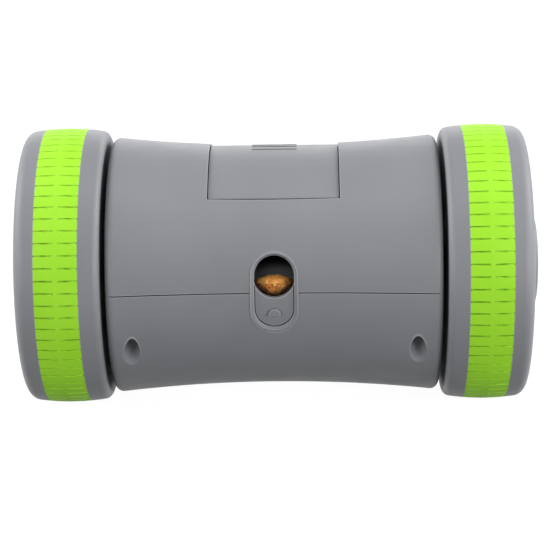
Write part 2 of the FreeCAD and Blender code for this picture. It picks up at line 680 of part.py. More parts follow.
def battery_ledge():
    """Rim that the ends of the battery door rest on."""
    ledge = patch(-BATTERY_LEDGE_HALF_LENGTH, BATTERY_LEDGE_HALF_LENGTH,
                  BATTERY_LEDGE_OFFSET - BATTERY_LEDGE_THICKNESS, -WALL / 2,
                  -90 - BATTERY_LEDGE_REACH_ANGLE, -90 + BATTERY_LEDGE_REACH_ANGLE)
    half_width = BATTERY_DOOR_HALF_WIDTH + BATTERY_DOOR_SIDE_GAP + BOX_WALL
    return ledge.common(box(-REACH, REACH, -half_width, half_width, -REACH, 0))


def battery_box_block(inside):
    half_length = CELL_BAY_HALF_LENGTH + BOX_WALL
    half_width = BATTERY_DOOR_HALF_WIDTH + BATTERY_DOOR_SIDE_GAP + BOX_WALL
    block = box(-half_length, half_length, -half_width, half_width, -REACH, BOX_ROOF_Z + BOX_WALL)
    return block.common(inside)


def battery_box_cuts():
    bay = box(-CELL_BAY_HALF_LENGTH, CELL_BAY_HALF_LENGTH, -CELL_BAY_HALF_WIDTH, CELL_BAY_HALF_WIDTH,
              -REACH, BOX_ROOF_Z)
    half_length = BATTERY_DOOR_HALF_LENGTH + BATTERY_DOOR_END_GAP
    half_width = BATTERY_DOOR_HALF_WIDTH + BATTERY_DOOR_SIDE_GAP
    wall = barrel(BODY_HALF_LENGTH, PAST).cut(barrel(BODY_HALF_LENGTH + PAST, BATTERY_LEDGE_OFFSET))
    pocket = wall.common(box(-half_length, half_length, -half_width, half_width, -REACH, 0))
    bores = []
    for x in (-BATTERY_SCREW_X, BATTERY_SCREW_X):
        bores.append(rod_z(BATTERY_SCREW_RADIUS + RUNNING_CLEARANCE, -REACH, battery_bore_top(), x, 0))
    return [bay, pocket] + bores


def battery_bore_top():
    return BATTERY_BOSS_TOP_Z - BATTERY_SCREW_COVER


def screw(rod, radius, head_radius, head, seat, tip, *place):
    """A screw along the rod's axis: its head lies beyond the seat, away from the tip."""
    away = 1 if seat > tip else -1
    shank = rod(radius, min(seat, tip), max(seat, tip), *place)
    top = seat + away * head
    screw_head = rod(head_radius, min(seat, top), max(seat, top), *place)
    floor = top - away * head / 2
    past = top + away * PAST
    recess = rod(head_radius * DRIVE_RECESS_SHARE, min(floor, past), max(floor, past), *place)
    return joined(shank, screw_head).cut(recess)


def housing_screws():
    screws = []
    for x, y in corners(TOWER_X, TOWER_Y):
        screws.append(screw(rod_z, CASING_SCREW_RADIUS, CASING_SCREW_HEAD_RADIUS, CASING_SCREW_HEAD,
                            TOWER_SEAT_Z, CASING_SCREW_REACH, x, y))
    return Part.makeCompound(screws)


def gate_window_tool(half_width, half_height, drop=0.0):
    return obround(half_width, half_height, -REACH, 0, drop)


def bezel_lip():
    """Oval ring just proud of the casing, dished towards its slot."""
    ring = patch(-RAIL_OUTER, RAIL_OUTER, -BEZEL_LIP, BEZEL_PROUD, -BEZEL_REACH_ANGLE, BEZEL_REACH_ANGLE)
    ring = ring.common(gate_window_tool(BEZEL_HALF_WIDTH, BEZEL_HALF_HEIGHT, BEZEL_DROP))
    ring = ring.cut(gate_window_tool(SLOT_HALF_WIDTH, SLOT_HALF_HEIGHT))
    slot_edges = []
    for edge in ring.Edges:
        middle = edge.valueAt((edge.FirstParameter + edge.LastParameter) / 2)
        beyond_straight = max(abs(middle.z) - (SLOT_HALF_HEIGHT - SLOT_HALF_WIDTH), 0)
        on_slot = abs(math.hypot(middle.x, beyond_straight) - SLOT_HALF_WIDTH) < SAME
        height = math.hypot(middle.y, middle.z) - casing_radius(middle.x, BEZEL_PROUD)
        if on_slot and abs(height) < SAME:
            slot_edges.append(edge)
    return ring.makeChamfer(BEZEL_DISH_DEPTH, BEZEL_DISH_WIDTH, slot_edges)


def gate_frame():
    """Front bezel: its oval lip, a neck through the casing's wall, and rails behind it."""
    lip = bezel_lip()
    neck = patch(-RAIL_OUTER, RAIL_OUTER, -WALL, -BEZEL_LIP, -BEZEL_REACH_ANGLE, BEZEL_REACH_ANGLE)
    inner_height = BEZEL_HALF_HEIGHT - (BEZEL_HALF_WIDTH - NECK_HALF_WIDTH)
    neck = neck.common(gate_window_tool(BEZEL_HALF_WIDTH, BEZEL_HALF_HEIGHT, BEZEL_DROP))
    neck = neck.cut(gate_window_tool(NECK_HALF_WIDTH, inner_height, BEZEL_DROP))
    bottom = GATE_BOTTOM_ANGLE - casing_degrees(SEAT_GAP)
    backing = patch(-RAIL_OUTER, RAIL_OUTER, RAIL_INNER_OFFSET, -WALL,
                    bottom - RAIL_BAR_ANGLE, RAIL_TOP_ANGLE)
    track = patch(-RAIL_INNER_WIDTH, RAIL_INNER_WIDTH, RAIL_INNER_OFFSET + RAIL_LIP, -WALL + PAST,
                  bottom, RAIL_TOP_ANGLE - RAIL_BAR_ANGLE)
    lip_width = RAIL_INNER_WIDTH - RAIL_LIP_WIDTH
    back_opening = patch(-lip_width, lip_width, RAIL_INNER_OFFSET - PAST, RAIL_INNER_OFFSET + RAIL_LIP + SAME,
                         bottom, RAIL_TOP_ANGLE - RAIL_BAR_ANGLE)
    backing = backing.cut([track, back_opening])
    return joined(lip, neck, backing)


def gate():
    """Front treat gate: a curved plate with a hollow top edge, a pad that fills the slot and a thumb nub."""
    half = RAIL_INNER_WIDTH - SEAT_GAP
    plate = patch(-half, half, GATE_INNER_OFFSET, GATE_OUTER_OFFSET, GATE_BOTTOM_ANGLE, GATE_TOP_ANGLE)
    pad_half = SLOT_HALF_WIDTH - GATE_PAD_GAP
    pad = patch(-pad_half, pad_half, GATE_OUTER_OFFSET, -GATE_PAD_DEPTH, -BEZEL_REACH_ANGLE, GATE_TOP_ANGLE)
    pad = pad.common(gate_window_tool(pad_half, SLOT_HALF_HEIGHT - GATE_PAD_GAP))
    hollow = rod_y(GATE_HOLLOW_RADIUS, -REACH, 0, 0, GATE_HOLLOW_Z)
    return joined(plate, pad, thumb_nub()).cut(hollow)


def thumb_nub():
    """Small half-round bump on the pad, with a rounded upper rim."""
    sheet = patch(-SLOT_HALF_WIDTH, SLOT_HALF_WIDTH, -GATE_PAD_DEPTH - BITE, -GATE_PAD_DEPTH + NUB_HEIGHT,
                  -BEZEL_REACH_ANGLE, 0)
    nub_height = NUB_TOP - NUB_BOTTOM
    bend = (NUB_HALF_WIDTH ** 2 + nub_height ** 2) / (2 * nub_height)
    crescent = rod_y(bend, -REACH, 0, 0, NUB_TOP - bend)
    crescent = crescent.common(box(-NUB_HALF_WIDTH, NUB_HALF_WIDTH, -REACH, 0, NUB_BOTTOM, REACH))
    nub = sheet.common(crescent)
    rim = []
    for edge in nub.Edges:
        middle = edge.valueAt((edge.FirstParameter + edge.LastParameter) / 2)
        height = math.hypot(middle.y, middle.z) - casing_radius(middle.x, NUB_HEIGHT - GATE_PAD_DEPTH)
        if abs(height) < SAME and middle.z > NUB_BOTTOM + SAME:
            rim.append(edge)
    return nub.makeFillet(NUB_ROUNDING, rim)


def fill_door():
    """Straight lid over the hopper, hinged at the back, with grip ribs across its crown."""
    half = DOOR_HALF_LENGTH
    plate = round_patch(-half, half, DOOR_INNER_RADIUS, DOOR_RADIUS, DOOR_FRONT_ANGLE, DOOR_REAR_ANGLE)
    front_edges = []
    for edge in plate.Edges:
        middle = edge.valueAt((edge.FirstParameter + edge.LastParameter) / 2)
        place = math.degrees(math.atan2(middle.z, -middle.y))
        at_front = abs(place - DOOR_FRONT_ANGLE) < SAME and abs(middle.x) < SAME
        if at_front and math.hypot(middle.y, middle.z) > DOOR_RADIUS - SAME:
            front_edges.append(edge)
    plate = plate.makeFillet(DOOR_LIP_ROUNDING, front_edges)
    web = round_patch(-HINGE_HALF_LENGTH, HINGE_HALF_LENGTH, DOOR_INNER_RADIUS, DOOR_RADIUS,
                      DOOR_REAR_ANGLE - casing_degrees(BITE), HINGE_ANGLE)
    y, z = hinge_place()
    knuckle = rod_x(HINGE_BARREL_RADIUS, -HINGE_HALF_LENGTH, HINGE_HALF_LENGTH, y, z)
    ribs = []
    for angle in GRIP_ANGLES:
        half_angle = casing_degrees(GRIP_WIDTH / 2)
        ribs.append(round_patch(-GRIP_HALF_LENGTH, GRIP_HALF_LENGTH, DOOR_RADIUS - BITE,
                                DOOR_RADIUS + GRIP_HEIGHT, angle - half_angle, angle + half_angle))
    snap = direction(SNAP_ANGLE) * (DOOR_RADIUS - DOOR_THICKNESS / 2)
    start = V(half - BITE, snap.y, snap.z)
    pip = Part.makeCone(SNAP_RADIUS, SNAP_RADIUS / 2, SNAP_HEIGHT + BITE, start, X_AXIS)
    around = casing_degrees(2 * SNAP_RADIUS)
    edge = round_patch(half - PAST, half + PAST, DOOR_INNER_RADIUS, DOOR_RADIUS,
                       SNAP_ANGLE - around, SNAP_ANGLE + around)
    pips = both_ends(pip.common(edge))
    bore = rod_x(HINGE_PIN_RADIUS + RUNNING_CLEARANCE, -REACH, REACH, y, z)
    return joined(plate, web, knuckle, *(ribs + pips)).cut(bore)


def door_hinge_pin():
    y, z = hinge_place()
    half = DOOR_HALF_LENGTH + DOOR_SIDE_GAP
    return rod_x(HINGE_PIN_RADIUS, -half, half, y, z)


def hopper_tray():
    """Floor and side walls of the treat hopper, with posts below that carry the circuit board."""
    room = barrel(HOPPER_HALF_LENGTH, -WALL - SEAT_GAP)
    underside = HOPPER_FLOOR_Z - HOPPER_SHEET
    above = box(-REACH, REACH, -REACH, REACH, underside, REACH)
    inner_half = HOPPER_HALF_LENGTH - HOPPER_SHEET
    bin_space = box(-inner_half, inner_half, -REACH, REACH, HOPPER_FLOOR_Z, REACH)
    tray = room.common(above).cut(bin_space)
    notch_half = RAIL_OUTER + HOPPER_NOTCH_GAP
    notch_radius = WAIST_RADIUS + RAIL_INNER_OFFSET - HOPPER_NOTCH_GAP
    notch_y = math.sqrt(notch_radius ** 2 - underside ** 2)
    notches = [box(-notch_half, notch_half, notch_y, REACH, -REACH, REACH),
               box(-notch_half, notch_half, -REACH, -notch_y, -REACH, REACH)]
    board_posts = []
    for x, y in corners(BOARD_POST_X, BOARD_POST_Y):
        board_posts.append(rod_z(BOARD_POST_RADIUS, BOARD_TOP_Z, underside, x, y))
    tray = joined(tray.cut(notches), *board_posts)
    holes = []
    for x, y in corners(POST_X, POST_Y):
        holes.append(rod_z(GEARBOX_SCREW_RADIUS + SCREW_HOLE_CLEARANCE, underside - PAST,
                           HOPPER_FLOOR_Z + PAST, x, y))
    for x, y in corners(BOARD_POST_X, BOARD_POST_Y):
        holes.append(rod_z(SMALL_SCREW_RADIUS, BOARD_TOP_Z - PAST, BOARD_TOP_Z + SMALL_SCREW_GRIP, x, y))
    return tray.cut(holes)


def hopper_screws():
    screws = []
    for x, y in corners(POST_X, POST_Y):
        screws.append(screw(rod_z, GEARBOX_SCREW_RADIUS, SMALL_SCREW_HEAD_RADIUS, SMALL_SCREW_HEAD,
                            HOPPER_FLOOR_Z, HOPPER_FLOOR_Z - HOPPER_SCREW_LENGTH, x, y))
    return Part.makeCompound(screws)


def cell_rows():
    """Each cell's place across the box and the way that it points."""
    return [(-CELL_PITCH, 1), (0.0, -1), (CELL_PITCH, 1)]


def battery_cells():
    cells = []
    half = CELL_LENGTH / 2
    for y, way in cell_rows():
        can = rod_x(CELL_RADIUS, -half, half - CELL_NUB, y, CELL_Z)
        cell = joined(can, rod_x(CELL_NUB_RADIUS, half - CELL_NUB, half, y, CELL_Z))
        cells.append(cell if way > 0 else mirrored(cell))
    return Part.makeCompound(cells)


def battery_contacts():
    half = CELL_LENGTH / 2
    plates = []
    for end in (1, -1):
        x1 = half + BATTERY_SPRING_LENGTH
        y = CELL_PITCH + CELL_RADIUS
        plate = box(x1, x1 + CONTACT_THICKNESS, -y, y,
                    CELL_Z - CONTACT_HEIGHT / 2, CELL_Z + CONTACT_HEIGHT / 2)
        for row, way in cell_rows():
            if way == end:
                plate = joined(plate, rod_x(CONTACT_BUTTON_RADIUS, half, x1, row, CELL_Z))
        plates.append(plate if end > 0 else mirrored(plate))
    return Part.makeCompound(plates)


def battery_springs():
    half = CELL_LENGTH / 2
    springs = []
    for row, way in cell_rows():
        cone = Part.makeCone(BATTERY_SPRING_TIP_RADIUS, BATTERY_SPRING_BASE_RADIUS, BATTERY_SPRING_LENGTH,
                             V(half, row, CELL_Z), X_AXIS)
        springs.append(mirrored(cone) if way > 0 else cone)
    return Part.makeCompound(springs)


def battery_door():
    """Curved plate under the battery box, with ribs that hold the cells up."""
    half_length = BATTERY_DOOR_HALF_LENGTH
    half_width = BATTERY_DOOR_HALF_WIDTH
    plate = patch(-half_length, half_length, BATTERY_DOOR_INNER_OFFSET, 0,
                  -90 - BATTERY_DOOR_REACH_ANGLE, -90 + BATTERY_DOOR_REACH_ANGLE)
    plate = plate.common(box(-half_length, half_length, -half_width, half_width, -REACH, 0))
    rib_top = CELL_Z - CELL_RADIUS - BATTERY_RIB_GAP
    rib_room = barrel(BODY_HALF_LENGTH, -WALL / 2)
    ribs = []
    for y in (-CELL_PITCH / 2, CELL_PITCH / 2):
        rib = box(-BATTERY_RIB_HALF_LENGTH, BATTERY_RIB_HALF_LENGTH, y - BATTERY_RIB_WIDTH / 2,
                  y + BATTERY_RIB_WIDTH / 2, -REACH, rib_top)
        ribs.append(rib.common(rib_room))
    door = joined(plate, *ribs)
    cuts = []
    for x in (-BATTERY_SCREW_X, BATTERY_SCREW_X):
        seat = battery_screw_seat()
        cuts.append(rod_z(BATTERY_SCREW_RADIUS, -REACH, 0, x, 0))
        cuts.append(rod_z(BATTERY_SCREW_HEAD_RADIUS + SEAT_GAP, -REACH, seat, x, 0))
    return door.cut(cuts)


def battery_screw_seat():
    return -casing_radius(BATTERY_SCREW_X) + BATTERY_SCREW_SINK + BATTERY_SCREW_HEAD


def battery_door_screws():
    screws = []
    for x in (-BATTERY_SCREW_X, BATTERY_SCREW_X):
        screws.append(screw(rod_z, BATTERY_SCREW_RADIUS, BATTERY_SCREW_HEAD_RADIUS, BATTERY_SCREW_HEAD,
                            battery_screw_seat(), battery_bore_top() - SCREW_TIP_ROOM, x, 0))
    return Part.makeCompound(screws)


def circuit_board():
    board = box(-BOARD_HALF_LENGTH, BOARD_HALF_LENGTH, -BOARD_HALF_WIDTH, BOARD_HALF_WIDTH,
                BOARD_TOP_Z - BOARD_THICKNESS, BOARD_TOP_Z)
    holes = []
    for x, y in corners(BOARD_POST_X, BOARD_POST_Y):
        holes.append(rod_z(SMALL_SCREW_RADIUS, -REACH, 0, x, y))
    return board.cut(holes)


def board_components():
    """Controller, motor driver, capacitor, sounder and three sockets."""
    top = BOARD_TOP_Z
    chip = CONTROLLER_HALF_WIDTH
    controller = box(-chip, chip, -chip, chip, top, top + CHIP_HEIGHT)
    driver = box(DRIVER_X - DRIVER_HALF_WIDTH, DRIVER_X + DRIVER_HALF_WIDTH, -DRIVER_HALF_LENGTH,
                 DRIVER_HALF_LENGTH, top, top + CHIP_HEIGHT)
    capacitor = rod_z(CAPACITOR_RADIUS, top, top + CAPACITOR_HEIGHT, *CAPACITOR_PLACE)
    sounder = rod_z(SOUNDER_RADIUS, top, top + SOUNDER_HEIGHT, *SOUNDER_PLACE)
    sockets = []
    for x in SOCKET_X:
        sockets.append(box(x - SOCKET_HALF_LENGTH, x + SOCKET_HALF_LENGTH, SOCKET_Y - SOCKET_HALF_WIDTH,
                           SOCKET_Y + SOCKET_HALF_WIDTH, top, top + SOCKET_HEIGHT))
    return Part.makeCompound([controller, driver, capacitor, sounder] + sockets)


def board_screws():
    screws = []
    under = BOARD_TOP_Z - BOARD_THICKNESS
    for x, y in corners(BOARD_POST_X, BOARD_POST_Y):
        screws.append(screw(rod_z, SMALL_SCREW_RADIUS, SMALL_SCREW_HEAD_RADIUS, SMALL_SCREW_HEAD,
                            under, BOARD_TOP_Z + SMALL_SCREW_GRIP, x, y))
    return Part.makeCompound(screws)


def power_switch():
    low = BOARD_TOP_Z
    high = 2 * BUTTON_Z - BOARD_TOP_Z
    body = box(BUTTON_X - SWITCH_HALF_LENGTH, BUTTON_X + SWITCH_HALF_LENGTH,
               SWITCH_BACK_Y, SWITCH_FRONT_Y, low, high)
    notch = rod_z(BOARD_POST_RADIUS + SEAT_GAP, low - PAST, high + PAST, BOARD_POST_X, BOARD_POST_Y)
    bore = rod_y(BUTTON_STEM_RADIUS + RUNNING_CLEARANCE, SWITCH_BORE_Y, SWITCH_FRONT_Y + PAST,
                 BUTTON_X, BUTTON_Z)
    return body.cut([notch, bore])


def switch_plunger():
    return rod_y(BUTTON_STEM_RADIUS, PLUNGER_INNER_Y, BUTTON_STEM_END_Y, BUTTON_X, BUTTON_Z)


def power_button():
    """Round push button with a domed face, a flange behind the casing and a stem to the switch."""
    flange_y = BUTTON_BOSS_INNER_Y - SEAT_GAP
    head = rod_y(BUTTON_RADIUS, flange_y - BUTTON_FLANGE, BUTTON_FACE_Y, BUTTON_X, BUTTON_Z)
    ball_radius = (BUTTON_RADIUS ** 2 + BUTTON_DOME ** 2) / (2 * BUTTON_DOME)
    ball = Part.makeSphere(ball_radius, V(BUTTON_X, BUTTON_FACE_Y + BUTTON_DOME - ball_radius, BUTTON_Z))
    face_end = BUTTON_FACE_Y + BUTTON_DOME + PAST
    face = rod_y(BUTTON_RADIUS, BUTTON_FACE_Y - BITE, face_end, BUTTON_X, BUTTON_Z)
    face = face.common(ball)
    flange = rod_y(BUTTON_FLANGE_RADIUS, flange_y - BUTTON_FLANGE, flange_y, BUTTON_X, BUTTON_Z)
    stem = rod_y(BUTTON_STEM_RADIUS, BUTTON_STEM_END_Y, flange_y, BUTTON_X, BUTTON_Z)
    return joined(head, face, flange, stem)


def spacer_places():
    y, z = UPPER_SPACER
    low_y, low_z = LOWER_SPACER
    return [(y, z), (-y, z), (low_y, low_z), (-low_y, low_z)]


def motor_screw_places():
    """Two places beside the motor shaft, square to the line towards the first gear."""
    square = MOTOR_ANGLE + 90
    return [step_from(MOTOR, MOTOR_SCREW_OFFSET, square), step_from(MOTOR, MOTOR_SCREW_OFFSET, square + 180)]


def gearbox_frame():
    """Inner plate of a gearbox with four spacers and two lugs that stand on the casing's posts."""
    plate_end = GEAR_ROOM_X
    plate = box(FRAME_X, plate_end, -FRAME_HALF_WIDTH, FRAME_HALF_WIDTH, FRAME_BOTTOM_Z, FRAME_TOP_Z)
    spacers = [rod_x(SPACER_RADIUS, FRAME_X, COVER_X, y, z) for y, z in spacer_places()]
    low = LUG_TOP_Z - LUG_THICKNESS
    lugs = [box(FRAME_X, LUG_OUTER_X, LUG_INNER_Y, LUG_OUTER_Y, low, LUG_TOP_Z),
            box(FRAME_X, LUG_OUTER_X, -LUG_OUTER_Y, -LUG_INNER_Y, low, LUG_TOP_Z)]
    frame = joined(plate, *(spacers + lugs))
    cuts = [rod_x(INNER_BUSH_RADIUS, FRAME_X - PAST, plate_end + PAST)]
    for y, z in (FIRST_GEAR, SECOND_GEAR):
        cuts.append(rod_x(GEAR_PIN_RADIUS, plate_end - GEAR_PIN_SEAT, plate_end + PAST, y, z))
    cuts.append(rod_x(MOTOR_NOSE_RADIUS, FRAME_X - PAST, plate_end + PAST, *MOTOR))
    for y, z in motor_screw_places():
        cuts.append(rod_x(MOTOR_SCREW_RADIUS, FRAME_X - PAST, plate_end + PAST, y, z))
    for y, z in spacer_places():
        cuts.append(rod_x(GEARBOX_SCREW_RADIUS, gearbox_screw_tip(), COVER_X + PAST, y, z))
    for y in (-LUG_POST_Y, LUG_POST_Y):
        cuts.append(rod_z(GEARBOX_SCREW_RADIUS + SCREW_HOLE_CLEARANCE, low - PAST, LUG_TOP_Z + PAST,
                          LUG_POST_X, y))
    return frame.cut(cuts)


def gearbox_screw_tip():
    return COVER_X + COVER_THICKNESS - GEARBOX_SCREW_LENGTH


def gearbox_cover():
    end = COVER_X + COVER_THICKNESS
    plate = box(COVER_X, end, -FRAME_HALF_WIDTH, FRAME_HALF_WIDTH, FRAME_BOTTOM_Z, FRAME_TOP_Z)
    cuts = [rod_x(AXLE_RADIUS + SEAT_GAP, COVER_X - PAST, end + PAST)]
    for y, z in (FIRST_GEAR, SECOND_GEAR):
        cuts.append(rod_x(GEAR_PIN_RADIUS, COVER_X - PAST, end + PAST, y, z))
    for y, z in spacer_places():
        cuts.append(rod_x(GEARBOX_SCREW_RADIUS, COVER_X - PAST, end + PAST, y, z))
    return plate.cut(cuts)


def gearbox_screws():
    end = COVER_X + COVER_THICKNESS
    screws = []
    for y, z in spacer_places():
        one = screw(rod_x, GEARBOX_SCREW_RADIUS, SMALL_SCREW_HEAD_RADIUS, SMALL_SCREW_HEAD,
                    end, gearbox_screw_tip(), y, z)
        screws += both_ends(one)
    return Part.makeCompound(screws)


def gearbox_mount_screws():
    screws = []
    for x, y in corners(LUG_POST_X, LUG_POST_Y):
        screws.append(screw(rod_z, GEARBOX_SCREW_RADIUS, SMALL_SCREW_HEAD_RADIUS, SMALL_SCREW_HEAD,
                            LUG_TOP_Z, LUG_TOP_Z - LUG_SCREW_LENGTH, x, y))
    return Part.makeCompound(screws)


def gear_pins():
    start = GEAR_ROOM_X - GEAR_PIN_SEAT
    pins = []
    for y, z in (FIRST_GEAR, SECOND_GEAR):
        pins += both_ends(rod_x(GEAR_PIN_RADIUS, start, COVER_X + COVER_THICKNESS, y, z))
    return Part.makeCompound(pins)


def motor():
    """Small can motor: a round can with two flats, a nose in the gearbox plate and a bore for its shaft."""
    y, z = MOTOR
    back = FRAME_X - MOTOR_LENGTH
    can = rod_x(MOTOR_RADIUS, back, FRAME_X, y, z)
    can = can.common(box(back, FRAME_X, y - REACH, y + REACH, z - MOTOR_FLAT, z + MOTOR_FLAT))
    nose = rod_x(MOTOR_NOSE_RADIUS, FRAME_X, FRAME_X + MOTOR_NOSE, y, z)
    bore = rod_x(MOTOR_SHAFT_RADIUS + RUNNING_CLEARANCE, FRAME_X - MOTOR_SHAFT_DEPTH - SEAT_GAP,
                 FRAME_X + MOTOR_NOSE + PAST, y, z)
    threads = []
    for place_y, place_z in motor_screw_places():
        threads.append(rod_x(MOTOR_SCREW_RADIUS, motor_screw_tip(), FRAME_X + PAST, place_y, place_z))
    return joined(can, nose).cut([bore] + threads)


def motor_screw_tip():
    return FRAME_X - MOTOR_SCREW_GRIP


def motor_screws():
    screws = []
    seat = GEAR_ROOM_X
    for y, z in motor_screw_places():
        one = screw(rod_x, MOTOR_SCREW_RADIUS, MOTOR_SCREW_HEAD_RADIUS, MOTOR_SCREW_HEAD,
                    seat, motor_screw_tip(), y, z)
        screws += both_ends(one)
    return Part.makeCompound(screws)


def motor_pinion():
    """Motor shaft with its ten-tooth pinion, whose gap meets a tooth of the first gear."""
    gap_way = MOTOR_ANGLE + 180
    ring = toothed_ring(MOTOR_TEETH, FINE_MODULE, PINION_FACE, MOTOR, gap_way + 180 / MOTOR_TEETH)
    tip = GEAR_ROOM_X + PINION_FACE[1] + MOTOR_SHAFT_TIP
    shaft = rod_x(MOTOR_SHAFT_RADIUS, FRAME_X - MOTOR_SHAFT_DEPTH, tip, *MOTOR)
    return joined(ring, shaft)


def first_gear():
    large = toothed_ring(WHEEL_TEETH, FINE_MODULE, FIRST_LARGE_FACE, FIRST_GEAR, MOTOR_ANGLE)
    gap_way = FIRST_GEAR_ANGLE + 180
    small = toothed_ring(SMALL_TEETH, FINE_MODULE, FIRST_SMALL_FACE, FIRST_GEAR, gap_way + 180 / SMALL_TEETH)
    return geared(large, small, FIRST_GEAR)


def second_gear():
    large = toothed_ring(WHEEL_TEETH, FINE_MODULE, SECOND_LARGE_FACE, SECOND_GEAR, FIRST_GEAR_ANGLE)
    gap_way = SECOND_GEAR_ANGLE + 180
    small = toothed_ring(LAST_SMALL_TEETH, COARSE_MODULE, SECOND_SMALL_FACE, SECOND_GEAR,
                         gap_way + 180 / LAST_SMALL_TEETH)
    return geared(large, small, SECOND_GEAR)


def geared(large, small, place):
    """A double gear on a hub that fills the gearbox, bored for its pin."""
    start = GEAR_ROOM_X + GEAR_END_PLAY
    hub = rod_x(GEAR_HUB_RADIUS, start, COVER_X - GEAR_END_PLAY, *place)
    bore = rod_x(GEAR_PIN_RADIUS + RUNNING_CLEARANCE, 0, REACH, *place)
    return joined(large, small, hub).cut(bore)


def output_gear():
    ring = toothed_ring(OUTPUT_TEETH, COARSE_MODULE, OUTPUT_FACE, (0, 0), SECOND_GEAR_ANGLE)
    hub = rod_x(OUTPUT_HUB_RADIUS, GEAR_ROOM_X + OUTPUT_HUB_FACE[0], GEAR_ROOM_X + OUTPUT_HUB_FACE[1])
    return joined(ring, hub).cut(rod_x(AXLE_RADIUS, 0, REACH))


def outer_bush():
    start = BODY_HALF_LENGTH - BUSH_LENGTH
    sleeve = rod_x(BUSH_RADIUS, start, BODY_HALF_LENGTH)
    flange = rod_x(BUSH_FLANGE_RADIUS, BODY_HALF_LENGTH, BODY_HALF_LENGTH + BUSH_FLANGE)
    return joined(sleeve, flange).cut(rod_x(AXLE_BORE, 0, REACH))


def inner_bush_start():
    return FRAME_X - INNER_BUSH_STAND


def inner_bush():
    end = GEAR_ROOM_X
    sleeve = rod_x(INNER_BUSH_RADIUS, inner_bush_start(), end)
    flange = rod_x(INNER_BUSH_FLANGE_RADIUS, end, end + INNER_BUSH_FLANGE)
    return joined(sleeve, flange).cut(rod_x(AXLE_BORE, 0, REACH))


def clip_end():
    return inner_bush_start() - SEAT_GAP


def axle():
    """Steel wheel shaft with a clip groove at its inner end and a threaded bore at its outer end."""
    start = clip_end() - CLIP_THICKNESS - AXLE_TAIL
    end = CAP_FLOOR_X - HUB_FLOOR
    shaft = rod_x(AXLE_RADIUS, start, end)
    groove = tube_x(AXLE_RADIUS - CLIP_GROOVE_DEPTH, AXLE_RADIUS + PAST,
                    clip_end() - CLIP_THICKNESS, clip_end())
    return shaft.cut([groove, rod_x(AXLE_SCREW_RADIUS, CAP_FLOOR_X - AXLE_SCREW_LENGTH, REACH)])


def axle_clip():
    ring = tube_x(AXLE_RADIUS - CLIP_GROOVE_DEPTH, CLIP_RADIUS, clip_end() - CLIP_THICKNESS, clip_end())
    slot = box(0, REACH, -CLIP_SLOT / 2, CLIP_SLOT / 2, 0, REACH)
    return ring.cut(slot)


def axle_screw():
    return screw(rod_x, AXLE_SCREW_RADIUS, AXLE_SCREW_HEAD_RADIUS, AXLE_SCREW_HEAD,
                 CAP_FLOOR_X, CAP_FLOOR_X - AXLE_SCREW_LENGTH, 0, 0)


def boss_places():
    places = []
    for number in range(WHEEL_SCREWS):
        places.append(step_from((0, 0), WHEEL_BOSS_RING, FIRST_BOSS_ANGLE + number * 360 / WHEEL_SCREWS))
    return places


def wheel_inner_shell():
    """Inner half of a wheel: disc, rounded rim, drum under the tread, hub tube and screw bosses."""
    rim_radius = crown_radius(WHEEL_INNER_X)
    rim = turned([crown_arc(WHEEL_INNER_X, TREAD_INNER_X)] + lines_through([
        (TREAD_INNER_X, crown_radius(TREAD_INNER_X)), (TREAD_INNER_X, TREAD_SEAT_RADIUS),
        (WHEEL_JOIN_X, TREAD_SEAT_RADIUS), (WHEEL_JOIN_X, 0), (WHEEL_INNER_X, 0), (WHEEL_INNER_X, rim_radius)]))
    rim = rim.makeFillet(WHEEL_INNER_ROUNDING, circles_at(rim, WHEEL_INNER_X, rim_radius))
    hollow = rod_x(TREAD_SEAT_RADIUS - WHEEL_WALL, WHEEL_INNER_X + WHEEL_WALL, WHEEL_JOIN_X + PAST)
    hub = rod_x(WHEEL_HUB_RADIUS, WHEEL_INNER_X - WHEEL_HUB_STAND, WHEEL_JOIN_X)
    bosses = [rod_x(WHEEL_BOSS_RADIUS, WHEEL_INNER_X + BITE, WHEEL_JOIN_X, y, z) for y, z in boss_places()]
    shell = joined(rim.cut(hollow), hub, *bosses)
    cuts = [rod_x(AXLE_RADIUS, 0, REACH)]
    for y, z in boss_places():
        cuts.append(rod_x(WHEEL_SCREW_RADIUS + SCREW_HOLE_CLEARANCE, 0, REACH, y, z))
        cuts.append(rod_x(WHEEL_SCREW_HEAD_RADIUS + SCREW_HOLE_CLEARANCE, 0, wheel_screw_seat(), y, z))
    return shell.cut(cuts)


